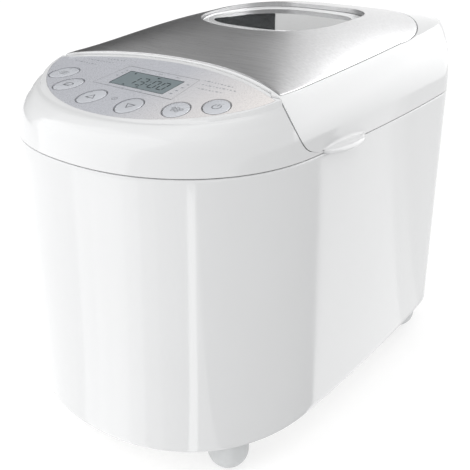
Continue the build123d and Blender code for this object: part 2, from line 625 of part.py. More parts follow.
def make_motor():
    z0 = CHASSIS_Z + CHASSIS_T + 4
    can = rod(0, MOTOR_Y, z0, z0 + 62, MOTOR_R)
    can = can + rod(0, MOTOR_Y, z0 + 62, z0 + 68, 12)
    can = can - rod(0, MOTOR_Y, 0, z0 + 20, SHAFT_R + RUN)
    save(can, "motor")
    shaft = rod(0, MOTOR_Y, BELT_Z - 7, z0 + 19, SHAFT_R)
    save(shaft, "motor_shaft")
    pulley = rod(0, MOTOR_Y, BELT_Z - 6, BELT_Z + 6, SMALL_PULLEY_R + 1.8)
    groove = rod(0, MOTOR_Y, BELT_Z - 4.2, BELT_Z + 4.2, SMALL_PULLEY_R + 5) - rod(0, MOTOR_Y, 0, 60, SMALL_PULLEY_R)
    save(pulley - groove - rod(0, MOTOR_Y, 0, 60, SHAFT_R), "motor_pulley")
    bracket = box(-46, 46, MOTOR_Y - 30, MOTOR_Y + 30, CHASSIS_Z + CHASSIS_T, z0)
    bracket = bracket - rod(0, MOTOR_Y, 0, 100, 14)
    save(bracket, "motor_bracket")


def make_belt():
    """Flat belt round both pulleys, a hair clear of their rims."""
    clear = 0.25

    def loop(extra):
        big = BIG_PULLEY_R + extra
        small = SMALL_PULLEY_R + extra
        gap = PAN_Y - MOTOR_Y
        lean = math.asin((big - small) / gap)
        px, py = math.cos(lean), math.sin(lean)
        b_right = (big * px, PAN_Y - big * py)
        b_left = (-big * px, PAN_Y - big * py)
        s_right = (small * px, MOTOR_Y - small * py)
        s_left = (-small * px, MOTOR_Y - small * py)
        edges = [
            Line(s_right, b_right),
            ThreePointArc(b_right, (0, PAN_Y + big), b_left),
            Line(b_left, s_left),
            ThreePointArc(s_left, (0, MOTOR_Y - small), s_right),
        ]
        return make_face(edges)

    belt = Pos(0, 0, BELT_Z - 3.5) * extrude(loop(clear + 1.3) - loop(clear), 7.0)
    save(belt, "drive_belt")


def make_chassis():
    plate = rounded_block(94, 150, 36, 0, CHASSIS_Z, CHASSIS_Z + CHASSIS_T)
    plate = plate - rod(0, PAN_Y, 0, 100, 11) - rod(0, MOTOR_Y, 0, 100, 14)
    ribs = []
    for x in (-90, 90):
        ribs.append(box(x - 1, x + 1, -120, 128, CHASSIS_Z - 12, CHASSIS_Z))
    save(fused([plate] + ribs), "chassis")
    legs = []
    for x in (-82, 82):
        for y in POST_Y:
            legs.append(rod(x, y, BODY_Z0 + WALL, CHASSIS_Z, 6) - rod(x, y, BODY_Z0, CHASSIS_Z - 8, 1.9))
    save(legs, "chassis_posts")


def make_base():
    base = extrude(plan_face(flat(BODY_Z0), WALL + 0.3, WALL + 0.3, WALL + 0.3, base=True), WALL)
    for row in range(7):
        for x in (-40, -14, 12):
            base = base - box(x, x + 20, -90 + 12 * row, -86 + 12 * row, 0, 30)
            base = base - box(x, x + 20, 50 + 12 * row, 54 + 12 * row, 0, 30)
    for x in (-82, 82):
        for y in POST_Y:
            base = base - rod(x, y, 0, 30, 2.2)
    save(base, "base_plate")
    feet = []
    for x in (-FOOT_XY[0], FOOT_XY[0]):
        for y in (-FOOT_XY[1], FOOT_XY[1]):
            ball_z = FOOT_R - FOOT_FLAT - LIFT
            ball = Pos(x, y, ball_z) * Sphere(FOOT_R)
            foot = (ball & box(x - 30, x + 30, y - 30, y + 30, -LIFT, ball_z)) + rod(x, y, ball_z, BODY_Z0, FOOT_R)
            feet.append(foot)
    save(feet, "feet")
    screws = []
    for x in (-82, 82):
        for y in POST_Y:
            screws.append(rod(x, y, BODY_Z0 - 2.2, BODY_Z0, 4.0) + rod(x, y, BODY_Z0, BODY_Z0 + 12, 1.9))
    save(screws, "base_screws")


def make_electrics():
    flange = box(GLAND_X - 11, GLAND_X + 11, BACK_Y - 4, BACK_Y + 1.5, GLAND_Z - 11, GLAND_Z + 11)
    boss = rod_y(GLAND_X, GLAND_Z, BACK_Y - 4, GLAND_Y, 11)
    gland = (flange + boss) - body_form(0, BODY_Z0, SEAM_Z)
    gland = gland + rod_y(GLAND_X, GLAND_Z, BACK_Y - 12, BACK_Y + 0.4, 7.9)
    gland = gland - rod_y(GLAND_X, GLAND_Z, BACK_Y - 20, GLAND_Y + 1, 4.0)
    save(gland, "cord_gland")
    can = rod(-62, -104, CHASSIS_Z + CHASSIS_T, CHASSIS_Z + CHASSIS_T + 48, 15)
    save(can, "capacitor")
    board = box(58, 59.6, -140, -72, 60, 150)
    parts = [
        board,
        box(59.6, 76, -134, -116, 70, 94),
        box(59.6, 74, -110, -90, 100, 128),
        box(59.6, 68, -86, -78, 70, 90),
    ]
    save(fused(parts), "power_board")
    save(box(52, 84, -140, -72, CHASSIS_Z + CHASSIS_T, 60), "board_bracket")


make_body_housing()
make_front_cover()
make_panel()
make_lid()
make_lid_inside()
make_hinge()
make_deck()
make_chamber()
make_heater()
make_sensors()
make_pan()
make_handle()
make_drive()
make_motor()
make_belt()
make_chassis()
make_base()
make_electrics()
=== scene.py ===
"""Bread machine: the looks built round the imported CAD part.

Shapes are worked out in millimetres, with heights measured from the same level as in the CAD
source, LIFT above the table, and become metres in the CAD frame when a mesh is made.
"""

import math

import bmesh
import bpy
import numpy as np
from mathutils import Matrix, Vector


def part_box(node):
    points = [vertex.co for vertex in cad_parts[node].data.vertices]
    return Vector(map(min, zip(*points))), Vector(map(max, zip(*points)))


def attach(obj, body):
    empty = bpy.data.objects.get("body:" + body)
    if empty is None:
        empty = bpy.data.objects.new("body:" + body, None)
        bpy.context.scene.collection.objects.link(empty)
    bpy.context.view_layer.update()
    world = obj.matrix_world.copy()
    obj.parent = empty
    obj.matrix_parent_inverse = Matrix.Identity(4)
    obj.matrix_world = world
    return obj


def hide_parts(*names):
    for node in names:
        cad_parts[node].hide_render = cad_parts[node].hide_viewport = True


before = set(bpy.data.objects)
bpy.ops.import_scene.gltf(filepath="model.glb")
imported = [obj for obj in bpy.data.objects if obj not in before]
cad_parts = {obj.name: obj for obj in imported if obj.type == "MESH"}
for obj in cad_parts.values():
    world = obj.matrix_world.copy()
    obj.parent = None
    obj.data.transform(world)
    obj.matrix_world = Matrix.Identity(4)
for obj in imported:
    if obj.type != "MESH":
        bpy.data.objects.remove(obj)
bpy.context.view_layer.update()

MM = 0.001
BODY_Z0 = 15.0
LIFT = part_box("body_housing")[0].z / MM - BODY_Z0
FRONT_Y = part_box("body_housing")[0].y / MM
BACK_Y = 181.0
HALF_W = 112.5
HALF_W_BASE = 115.0
NOSE_Y, NOSE_Y_BASE = -74.6, -67.0
NOSE_N, NOSE_M = 2.2, 2.31
SIDE_R = 1932.0
CORNER_Y = 129.5
CORNER_BACK_X = 52.5
CORNER_REACH = 0.56     # how far a back corner's handles reach, as a share of its size
NOSE_STEPS, SIDE_STEPS, CORNER_STEPS = 70, 60, 24
REAR_STEPS = (51, 48, 44, 37, 32, 29, 25, 20, 15, 11, 7, 3.5, 0)   # with one at each edge of a hole
BACK_BOW = 2.5
WALL = 2.5
SEAM_Z = 215.6
SEAM_GAP = 0.7
VENT_STARTS, VENT_W = (-51, -29, -7, 15, 37), 14
VENT_ZS, VENT_H = (150.0, 160.0), 3.0
GLAND_X, GLAND_Z, GLAND_HALF = 40.0, 40.0, 8.0
SEAM_LOW = SEAM_Z - SEAM_GAP / 2
SEAM_HIGH = SEAM_Z + SEAM_GAP / 2

PANEL_TILT = math.radians(11.0)
PANEL_Y, PANEL_Z = -112.0, 251.9
TIP_X, TIP_Y = 98.0, -101.5
TIP_GROW = 2.2          # the tips move this much for each millimetre that the lens grows
PANEL_DEPTH = 60.5
PANEL_BACK_Y = -78.0
PANEL_SECTION = 5.0     # section of the cover's dome that lies in the panel's plane
PANEL_SOFT = 3.2        # how softly the dome meets that plane
OVERLAY_T = 0.6
PRINT_T = 0.03
BUTTON_A, BUTTON_B = 10.5, 8.4
BUTTON_AIM_Y = -47.5
BUTTON_GAP = 0.3
LCD_Y, LCD_W, LCD_D = -112.0, 50.0, 22.0
BUTTONS = {
    "menu": (-70.5, -123.0),
    "size": (-50.0, -136.5),
    "up": (-17.5, -144.5),
    "down": (17.5, -144.5),
    "crust": (50.0, -136.5),
    "power": (70.5, -123.0),
}

EDGE_X, EDGE_Z, EDGE_RISE = 100.0, 255.4, 0.0585
CROWN, FRONT_CROWN, CROWN_RUN = 17.8, 2.8, 105.0
CROWN_TOP_Y, CROWN_FALL, CROWN_P = 47.5, 122.0, 3.7
CROWN_RISE_P, CROWN_FALL_P = 2.2, 1.5
SIDE_ROLL_R, SIDE_ROLL = 23.5, 0.884    # radius of the lid's rounded side, and how much of its arc is used
LID_FRONT_Y, LID_FRONT_BOW = -73.5, 26.0
COVER_FRONT_Y, COVER_RUN = -102.0, 270.0    # between these the sections of the dome slope
PLATE_T = 0.8
PLATE_FRONT_GAP = 1.5
PLATE_CORNER_Y, PLATE_BACK_Y, PLATE_CORNER_N = 60.0, 145.0, 2.3
WINDOW_Y, WINDOW_A, WINDOW_B, WINDOW_N = 41.0, 57.0, 58.0, 3.0
GLASS_TOP_Z = 275.0
TAB_Y, TAB_HALF, TAB_REACH, TAB_DROOP = -42.0, 25.6, 8.5, 0.28
LOBE_X = 96.5
LID_GAP = 1.05
HINGE_X, HINGE_FRONT_Y, HINGE_TOP_Z = 78.0, 166.0, 235.0
BACK_TURN_Y, BACK_TURN_RUN = 100.0, 80.0    # where the lid's side starts to turn to the back
COVER_COLS, LID_COLS = 90, 270
FOOT_R = 15.0
FOOT_FLAT = 0.4


# ---- meshes -------------------------------------------------------------------------
def finish_piece(name, mesh, body, material, sharp=40.0):
    """Cleans a mesh, makes it a piece that rides on a body, and gives it its finish."""
    bm = bmesh.new()
    bm.from_mesh(mesh)
    bmesh.ops.remove_doubles(bm, verts=bm.verts, dist=0.00002)
    bmesh.ops.dissolve_degenerate(bm, edges=bm.edges, dist=0.00001)
    bmesh.ops.recalc_face_normals(bm, faces=bm.faces)
    bm.to_mesh(mesh)
    bm.free()
    for polygon in mesh.polygons:
        polygon.use_smooth = True
    mesh.set_sharp_from_angle(angle=math.radians(sharp))
    piece = bpy.data.objects.new(name, mesh)
    bpy.context.scene.collection.objects.link(piece)
    mesh.materials.append(material)
    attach(piece, body)
    return piece


def to_metres(points):
    """Millimetres above the drawing level to metres above the table."""
    return [(x * MM, y * MM, (z + LIFT) * MM) for x, y, z in points]


def without_box(mesh, low, high):
    """The mesh with a box, given by two corners in millimetres, cut away."""
    bm = bmesh.new()
    bmesh.ops.create_cube(bm, size=1.0)
    low, high = (Vector(p) for p in to_metres([low, high]))
    for vert in bm.verts:
        vert.co = Vector(low[k] + (vert.co[k] + 0.5) * (high[k] - low[k]) for k in range(3))
    box_mesh = bpy.data.meshes.new("cutter")
    bm.to_mesh(box_mesh)
    bm.free()
    cutter = bpy.data.objects.new("cutter", box_mesh)
    blank = bpy.data.objects.new("blank", mesh)
    for made in (cutter, blank):
        bpy.context.scene.collection.objects.link(made)
    cut_away = blank.modifiers.new("cut", "BOOLEAN")
    cut_away.object = cutter
    cut_away.operation = "DIFFERENCE"
    cut_away.solver = "EXACT"
    result = bpy.data.meshes.new_from_object(blank.evaluated_get(bpy.context.evaluated_depsgraph_get()))
    for made in (cutter, blank):
        bpy.data.objects.remove(made)
    result.name = mesh.name
    return result


def tube(name, rings, body, material, capped=False, skip=None, sharp=40.0, notch=None):
    """A piece through closed rings of points; the last ring joins the first unless it is capped."""
    count = len(rings[0])
    points = [p for ring in rings for p in ring]
    faces = []
    last = len(rings) - 1 if capped else len(rings)
    for k in range(last):
        below, above = k * count, ((k + 1) % len(rings)) * count
        for i in range(count):
            j = (i + 1) % count
            if skip and skip(rings[k][i], rings[k][j], rings[(k + 1) % len(rings)][i]):
                continue
            faces.append((below + i, below + j, above + j, above + i))
    if capped:
        faces.append(tuple(reversed(range(count))))
        faces.append(tuple(last * count + i for i in range(count)))
    mesh = bpy.data.meshes.new(name)
    mesh.from_pydata(to_metres(points), [], faces)
    if notch:
        bm = bmesh.new()
        bm.from_mesh(mesh)
        bmesh.ops.recalc_face_normals(bm, faces=bm.faces)
        bm.to_mesh(mesh)
        bm.free()
        mesh = without_box(mesh, *notch)
    return finish_piece(name, mesh, body, material, sharp)


def flat_mesh(name, loops, low, high, place):
    """A flat plate between two depths. The first loop of each list is its outline, the rest its holes."""
    bm = bmesh.new()
    for outline in loops:
        edges = []
        for loop in outline:
            verts = [bm.verts.new((u, v, high)) for u, v in loop]
            edges += [bm.edges.new((verts[i - 1], verts[i])) for i in range(len(verts))]
        made = bmesh.ops.triangle_fill(bm, use_beauty=True, use_dissolve=False, edges=edges)
        faces = [f for f in made["geom"] if isinstance(f, bmesh.types.BMFace)]
        grown = bmesh.ops.extrude_face_region(bm, geom=faces, use_keep_orig=True)
        for vert in grown["geom"]:
            if isinstance(vert, bmesh.types.BMVert):
                vert.co.z = low
    for vert in bm.verts:
        vert.co = Vector(place(*vert.co))
    mesh = bpy.data.meshes.new(name)
    bm.to_mesh(mesh)
    bm.free()
    return mesh


def resample(path, count):
    """Points evenly spaced along a line of points."""
    path = np.asarray(path, float)
    steps = np.linalg.norm(np.diff(path, axis=0), axis=1)
    along = np.concatenate([[0.0], np.cumsum(steps)])
    wanted = np.linspace(0.0, along[-1], count)
    return np.stack([np.interp(wanted, along, path[:, k]) for k in range(path.shape[1])], axis=1)


def mirrored(half):
    """A closed ring from its right half, which runs from one point of the centre plane to another."""
    left = [(-x, y, z) for x, y, z in half[::-1]]
    return list(half) + left[1:-1]


# ---- outlines -----------------------------------------------------------------------
def half_outline(half_width, nose, side, front, back):
    """Right half of the machine's plan, from the middle of the front to the middle of the back."""
    w = half_width - side
    depth = nose - FRONT_Y - front
    turn = np.linspace(0.0, math.pi / 2, NOSE_STEPS)
    nose_x = w * np.sin(turn) ** (2 / NOSE_N)
    nose_y = nose - depth * np.cos(turn) ** (2 / NOSE_M)
    side_y = np.linspace(nose, CORNER_Y, SIDE_STEPS)[1:]
    side_x = w - (side_y - nose) ** 2 / (2 * SIDE_R)
    corner_x = side_x[-1]
    slope = (CORNER_Y - nose) / SIDE_R
    end = BACK_Y - back
    reach_y = CORNER_REACH * (end - CORNER_Y)
    reach_x = CORNER_REACH * (corner_x - CORNER_BACK_X)
    end_slope = 2 * BACK_BOW / CORNER_BACK_X
    knots = np.array([
        (corner_x, CORNER_Y),
        (corner_x - slope * reach_y, CORNER_Y + reach_y),
        (CORNER_BACK_X + reach_x, end - BACK_BOW - end_slope * reach_x),
        (CORNER_BACK_X, end - BACK_BOW),
    ])
    t = np.linspace(0.0, 1.0, CORNER_STEPS)[1:, None]
    corner = (
        (1 - t) ** 3 * knots[0] + 3 * (1 - t) ** 2 * t * knots[1]
        + 3 * (1 - t) * t ** 2 * knots[2] + t ** 3 * knots[3]
    )
    rear_x = np.array(REAR_STEPS)
    rear_y = end - BACK_BOW * (rear_x / CORNER_BACK_X) ** 2
    return np.concatenate([
        np.stack([nose_x, nose_y], axis=1), np.stack([side_x, side_y], axis=1), corner,
        np.stack([rear_x, rear_y], axis=1),
    ])


def curve_point(a, b, c, d, t):
    """Point between b and c, at share t, of the smooth curve through four points in a row."""
    return 0.5 * (2 * b + (c - a) * t + (2 * a - 5 * b + 4 * c - d) * t ** 2
                  + (3 * b - a - 3 * c + d) * t ** 3)


def smooth(share):
    """Eases from 0 to 1."""
    share = max(0.0, min(1.0, share))
    return share * share * (3 - 2 * share)


def side_inset(share):
    """How far the lid's side has rounded in at a share of its height."""
    return SIDE_ROLL_R * (1 - math.sqrt(max(0.0, 1 - (SIDE_ROLL * share) ** 2)))


def lid_front(x):
    """Front edge of the lid in plan."""
    return LID_FRONT_Y - LID_FRONT_BOW * (x / 100) ** 2


def edge_height(y):
    """Height of the steel plate's side edge."""
    return EDGE_Z + EDGE_RISE * (y - TIP_Y)


def top_height(x, y):
    """Crowned top of the lid."""
    half = EDGE_X - max(0.0, y - NOSE_Y) ** 2 / (2 * SIDE_R)
    t = max(0.0, min(CROWN_RUN, y - lid_front(x)))
    crown = FRONT_CROWN + (CROWN - FRONT_CROWN) * (1 - (1 - t / CROWN_RUN) ** CROWN_RISE_P)
    if y > CROWN_TOP_Y:
        crown *= max(0.0, 1 - ((y - CROWN_TOP_Y) / CROWN_FALL) ** CROWN_FALL_P)
    return edge_height(y) + crown * (1 - min(1.15, abs(x) / half) ** CROWN_P)


def panel_height(y):
    return PANEL_Z + (y - PANEL_Y) * math.tan(PANEL_TILT)


def on_panel(u, v, depth):
    """Panel coordinates, across and up the slope, to the drawing's millimetres."""
    y = PANEL_Y + v * math.cos(PANEL_TILT) - depth * math.sin(PANEL_TILT)
    z = PANEL_Z + v * math.sin(PANEL_TILT) + depth * math.cos(PANEL_TILT)
    return u, y, z


def panel_place(u, v, depth):
    return to_metres([on_panel(u, v, depth)])[0]


def panel_v(y):
    return (y - PANEL_Y) / math.cos(PANEL_TILT)


def seam_curve():
    """The S-shaped parting line between cover and lid on each side, as y for each height."""
    knots = [(-99.0, 290.0), (-99.0, 262.0), (-98.5, 247.0), (-94.0, 233.5), (-85.5, 222.0), (-72.5, 217.3),
             (-69.4, 216.0), (-68.4, 215.6), (-66.0, 214.6)]
    fine = []
    for k in range(1, len(knots) - 2):
        a, b, c, d = (np.array(p) for p in knots[k - 1:k + 3])
        for t in np.linspace(0.0, 1.0, 14, endpoint=False):
            fine.append(curve_point(a, b, c, d, t))
    fine.append(np.array(knots[-2]))
    fine = np.array(fine[::-1])
    return fine[:, 1], fine[:, 0]


SEAM_ZS, SEAM_YS = seam_curve()


def seam_y(z):
    return float(np.interp(z, SEAM_ZS, SEAM_YS))


def cut(path, level, shift):
    """Index and point where a half outline crosses the S-shaped seam moved back by shift."""
    for k in range(1, len(path)):
        now = path[k][1] - seam_y(level(path[k][1])) - shift
        if now >= 0:
            before = path[k - 1][1] - seam_y(level(path[k - 1][1])) - shift
            t = before / (before - now)
            return k, path[k - 1] + t * (path[k] - path[k - 1])
    raise ValueError("the outline never meets the seam")


def wall_path(start, lobe_x, middle_shift):
    """Plan of the hidden wall at the seam, from the skin's end inwards and on to the centre plane."""
    x0, y0 = start
    lobe = min(lobe_x, x0 - 0.6)
    side = [(x0 + (lobe - x0) * k / 4, y0) for k in range(5)]
    foot_y = min(y0, lid_front(lobe) + middle_shift)
    drop = [(lobe, y0 + (foot_y - y0) * k / 4) for k in range(1, 5)]
    middle = []
    for k in range(1, 31):
        x = lobe * (1 - k / 30)
        y = lid_front(x) + middle_shift
        middle.append((x, min(y0, y) if k < 2 else y))
    return side + drop + middle


# ---- materials ----------------------------------------------------------------------
PLASTIC_IOR, GLASS_IOR = 1.46, 1.5


def new_material(name):
    material = bpy.data.materials.new(name)
    material.use_nodes = True
    nodes = material.node_tree.nodes
    return material, nodes, material.node_tree.links, nodes["Principled BSDF"]


def node(nodes, kind, **values):
    made = nodes.new(kind)
    for key, value in values.items():
        if key in made.inputs:
            made.inputs[key].default_value = value
        else:
            setattr(made, key, value)
    return made


def object_noise(nodes, links, scale, stretch=(1, 1, 1), detail=4.0):
    """Noise in the object's own coordinates, stretched along the axes. Scale is per metre."""
    place = node(nodes, "ShaderNodeTexCoord")
    mapping = node(nodes, "ShaderNodeMapping", Scale=stretch)
    links.new(place.outputs["Object"], mapping.inputs["Vector"])
    noise = node(nodes, "ShaderNodeTexNoise", Scale=scale, Detail=detail, Roughness=0.55)
    links.new(mapping.outputs["Vector"], noise.inputs["Vector"])
    return noise


def ramp(nodes, links, source, low, high, start=0.3, end=0.7):
    """Colour ramp between two colours or two grey values."""
    made = node(nodes, "ShaderNodeValToRGB")
    for element, value, place in ((0, low, start), (1, high, end)):
        colour = value if isinstance(value, tuple) else (value, value, value)
        made.color_ramp.elements[element].color = (*colour, 1)
        made.color_ramp.elements[element].position = place
    links.new(source, made.inputs["Fac"])
    return made


def bumped(nodes, links, shader, noise, strength, depth):
    bump = node(nodes, "ShaderNodeBump", Strength=strength, Distance=depth)
    links.new(noise.outputs["Fac"], bump.inputs["Height"])
    links.new(bump.outputs["Normal"], shader.inputs["Normal"])


def surface(name, colour, rough, metal=0.0, vary=0.04, rough_vary=0.05, scale=60.0, stretch=(1, 1, 1),
            bump=0.05, grain=900.0, depth=0.00004):
    """A finish with a little variation in colour and gloss and a fine grain in its surface."""
    material, nodes, links, shader = new_material(name)
    broad = object_noise(nodes, links, scale, stretch)
    low = tuple(max(0.0, c * (1 - vary)) for c in colour)
    high = tuple(min(1.0, c * (1 + vary)) for c in colour)
    tint = ramp(nodes, links, broad.outputs["Fac"], low, high)
    links.new(tint.outputs["Color"], shader.inputs["Base Color"])
    gloss = ramp(nodes, links, broad.outputs["Fac"], max(0.02, rough - rough_vary), rough + rough_vary)
    links.new(gloss.outputs["Color"], shader.inputs["Roughness"])
    fine = object_noise(nodes, links, grain, stretch, detail=3.0)
    bumped(nodes, links, shader, fine, bump, depth)
    shader.inputs["Metallic"].default_value = metal
    shader.inputs["IOR"].default_value = PLASTIC_IOR
    return material


def brushed_steel(name, colour, rough, stretch, contrast=0.10, bump=0.10):
    """Steel with fine parallel strokes along one axis."""
    material, nodes, links, shader = new_material(name)
    strokes = object_noise(nodes, links, 1.0, stretch, detail=6.0)
    fine = object_noise(nodes, links, 1.0, tuple(s * 3.1 for s in stretch), detail=3.0)
    low = tuple(c * (1 - contrast) for c in colour)
    high = tuple(min(1.0, c * (1 + contrast)) for c in colour)
    tint = ramp(nodes, links, strokes.outputs["Fac"], low, high, 0.35, 0.65)
    links.new(tint.outputs["Color"], shader.inputs["Base Color"])
    gloss = ramp(nodes, links, fine.outputs["Fac"], rough - 0.06, rough + 0.08)
    links.new(gloss.outputs["Color"], shader.inputs["Roughness"])
    bumped(nodes, links, shader, strokes, bump, 0.00003)
    shader.inputs["Metallic"].default_value = 1.0
    return material


def glass(name, tint, rough=0.02):
    """Clear pane with a slight tint and faint smudges in its gloss."""
    material, nodes, links, shader = new_material(name)
    smudge = object_noise(nodes, links, 35.0, detail=2.0)
    links.new(ramp(nodes, links, smudge.outputs["Fac"], rough, rough + 0.03).outputs["Color"],
              shader.inputs["Roughness"])
    shader.inputs["Base Color"].default_value = (*tint, 1)
    shader.inputs["Transmission Weight"].default_value = 1.0
    shader.inputs["IOR"].default_value = GLASS_IOR
    return material


def panel_film_painted_highlight():
    """Silver-grey printed film, a little cooler at the left; towards the right tip it is painted brighter and
    warmer, a painted highlight.
    """
    material, nodes, links, shader = new_material("panel_film_painted_highlight")
    place = node(nodes, "ShaderNodeTexCoord")
    split = node(nodes, "ShaderNodeSeparateXYZ")
    links.new(place.outputs["Object"], split.inputs["Vector"])
    across = node(nodes, "ShaderNodeMapRange")
    across.inputs["From Min"].default_value = -TIP_X * MM
    across.inputs["From Max"].default_value = TIP_X * MM
    links.new(split.outputs["X"], across.inputs["Value"])
    # painted highlight: the film's colour brightens across the panel towards the right tip
    tint = ramp(nodes, links, across.outputs["Result"], (0.55, 0.56, 0.60), (0.80, 0.765, 0.745), 0.55, 0.99)
    flake = object_noise(nodes, links, 2600.0, detail=2.0)
    speck = ramp(nodes, links, flake.outputs["Fac"], 0.93, 1.05)
    mix = node(nodes, "ShaderNodeMix", data_type="RGBA", blend_type="MULTIPLY")
    mix.inputs["Factor"].default_value = 1.0
    links.new(tint.outputs["Color"], mix.inputs[6])
    links.new(speck.outputs["Color"], mix.inputs[7])
    links.new(mix.outputs[2], shader.inputs["Base Color"])
    gloss = ramp(nodes, links, flake.outputs["Fac"], 0.24, 0.34)
    links.new(gloss.outputs["Color"], shader.inputs["Roughness"])
    bumped(nodes, links, shader, flake, 0.05, 0.00001)
    shader.inputs["Metallic"].default_value = 0.25
    return material


WHITE = surface("white_gloss", (0.645, 0.649, 0.653), 0.09, vary=0.006, rough_vary=0.02, scale=14.0,
                bump=0.02, grain=420.0, depth=0.00002)
WHITE_MATTE = surface("white_matte", (0.70, 0.70, 0.69), 0.45, bump=0.12, grain=1600.0)
FILM_PAINTED_HIGHLIGHT = panel_film_painted_highlight()
KEY = surface("key_face", (0.57, 0.585, 0.62), 0.26, metal=0.2, vary=0.03, bump=0.04, grain=2400.0)
INK = surface("ink", (0.075, 0.08, 0.088), 0.40, vary=0.10, bump=0.03, grain=2000.0)
INK_PALE = surface("ink_pale", (0.20, 0.215, 0.235), 0.40, vary=0.10, bump=0.03, grain=2000.0)
LCD_BACK = surface("lcd_back", (0.19, 0.225, 0.238), 0.16, vary=0.05, scale=30.0, bump=0.02, grain=3000.0)
LCD_INK = surface("lcd_ink", (0.035, 0.048, 0.05), 0.16, vary=0.05, bump=0.02, grain=3000.0)
TOP_STEEL = brushed_steel("brushed_top", (0.56, 0.56, 0.565), 0.33, (16.0, 1500.0, 1500.0), contrast=0.10,
                          bump=0.02)
FOOT = surface("foot_rubber", (0.55, 0.56, 0.565), 0.55, vary=0.05, bump=0.15, grain=1200.0)
GLASS = glass("glass_pane", (0.28, 0.295, 0.305))
GREY = surface("grey_plastic", (0.17, 0.175, 0.18), 0.40, bump=0.15, grain=1500.0)
BLACK = surface("black_plastic", (0.02, 0.02, 0.021), 0.42, bump=0.15, grain=1500.0)
BOARD = surface("circuit_board", (0.015, 0.10, 0.04), 0.35, vary=0.25, scale=260.0, bump=0.2, grain=700.0)
SHEET = brushed_steel("steel_sheet", (0.60, 0.60, 0.61), 0.34, (40.0, 40.0, 900.0), contrast=0.06, bump=0.05)
HEATER = surface("dark_steel", (0.05, 0.043, 0.04), 0.45, metal=0.8, vary=0.35, scale=90.0, bump=0.2,
                 grain=1100.0)
MOTOR = surface("motor_steel", (0.10, 0.105, 0.11), 0.38, metal=0.7, vary=0.12, bump=0.1)
CAST = surface("cast_aluminium", (0.62, 0.62, 0.63), 0.42, metal=0.9, vary=0.06, bump=0.25, grain=1300.0)
LINER = brushed_steel("liner_aluminium", (0.66, 0.66, 0.67), 0.38, (30.0, 900.0, 900.0), contrast=0.05,
                      bump=0.06)
NONSTICK = surface("nonstick", (0.028, 0.028, 0.030), 0.34, metal=0.15, vary=0.25, scale=700.0, bump=0.12,
                   grain=1500.0, depth=0.00003)
SCREW = surface("screw_steel", (0.66, 0.66, 0.67), 0.18, metal=1.0, vary=0.05, bump=0.04)
BRONZE = surface("brass_bush", (0.50, 0.33, 0.13), 0.36, metal=1.0, vary=0.12, bump=0.2)
CERAMIC = surface("ceramic_white", (0.74, 0.71, 0.63), 0.5, bump=0.2)
BELT = surface("belt_rubber", (0.015, 0.015, 0.016), 0.6, bump=0.3, grain=1000.0)
SILICONE = surface("seal_rubber", (0.30, 0.30, 0.305), 0.5, bump=0.15)

CAD_FINISH = {
    WHITE_MATTE: ["top_deck", "chassis_posts", "base_plate", "board_bracket", "lid_knuckles"],
    GREY: ["cord_gland", "capacitor", "hinge_brackets", "lcd_module"],
    BLACK: ["large_pulley", "tact_switches"],
    BOARD: ["control_board", "power_board"],
    SHEET: ["oven_chamber", "chamber_standoffs", "heater_clips", "temperature_sensor", "thermal_fuse",
            "motor_bracket", "chassis"],
    HEATER: ["heating_element"],
    MOTOR: ["motor"],
    CAST: ["pan_seat", "pan_base", "drive_dog"],
    LINER: ["lid_liner"],
    NONSTICK: ["bread_pan", "kneading_paddle"],
    SCREW: ["base_screws", "hinge_pin", "pan_handle", "drive_shaft", "pan_spindle", "motor_shaft"],
    BRONZE: ["drive_bearing", "motor_pulley"],
    CERAMIC: ["heater_bushings"],
    BELT: ["drive_belt", "shaft_seal"],
    SILICONE: ["lid_seal"],
    GLASS: ["lid_inner_glass", "window_glass"],
}


def dress_cad():
    for material, names in CAD_FINISH.items():
        for name in names:
            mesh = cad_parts[name].data
            mesh.materials.clear()
            mesh.materials.append(material)


# ---- body ---------------------------------------------------------------------------
def body_ring(z, inset):
    share = (z - BODY_Z0) / (SEAM_LOW - BODY_Z0)
    w = HALF_W_BASE + (HALF_W - HALF_W_BASE) * share
    nose = NOSE_Y_BASE + (NOSE_Y - NOSE_Y_BASE) * share
    half = half_outline(w, nose, inset, inset, inset)
    return mirrored([(x, y, z) for x, y in half])


def make_body():
    """Tall shell with vents and the gland's hole in its back."""
    lines = [GLAND_Z - GLAND_HALF, GLAND_Z + GLAND_HALF]
    for z in VENT_ZS:
        lines += [z, z + VENT_H]
    levels = sorted(lines + [20.0, 60.0, 95.0, 125.0, 180.0, 200.0, 212.5])
    low, high = BODY_Z0, SEAM_LOW
    outer = [(low, 2.0), (low + 0.35, 1.1), (low + 1.0, 0.4), (low + 2.0, 0.0)] + [(z, 0.0) for z in levels]
    outer += [(high - 0.7, 0.0), (high - 0.2, 0.2), (high, 0.6)]
    inner = [(high, WALL - 0.3), (high - 0.4, WALL)] + [(z, WALL) for z in reversed(levels)]
    inner += [(low + 0.4, WALL), (low, WALL - 0.2)]
    rings = [body_ring(z, inset) for z, inset in outer + inner]

    def in_hole(a, b, c):
        if min(a[1], b[1]) < BACK_Y - BACK_BOW - WALL - 2 or abs(c[2] - a[2]) < 0.5:
            return False
        x, z = (a[0] + b[0]) / 2, (a[2] + c[2]) / 2
        if abs(x - GLAND_X) < GLAND_HALF and abs(z - GLAND_Z) < GLAND_HALF:
            return True
        in_row = any(level < z < level + VENT_H for level in VENT_ZS)
        return in_row and any(start < x < start + VENT_W for start in VENT_STARTS)

    shell = tube("housing_shell", rings, "root", WHITE, skip=in_hole)
    bm = bmesh.new()
    bm.from_mesh(shell.data)
    close_holes(bm, [edge for edge in bm.edges if edge.is_boundary])
    bmesh.ops.recalc_face_normals(bm, faces=bm.faces)
    bm.to_mesh(shell.data)
    bm.free()
    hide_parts("body_housing")


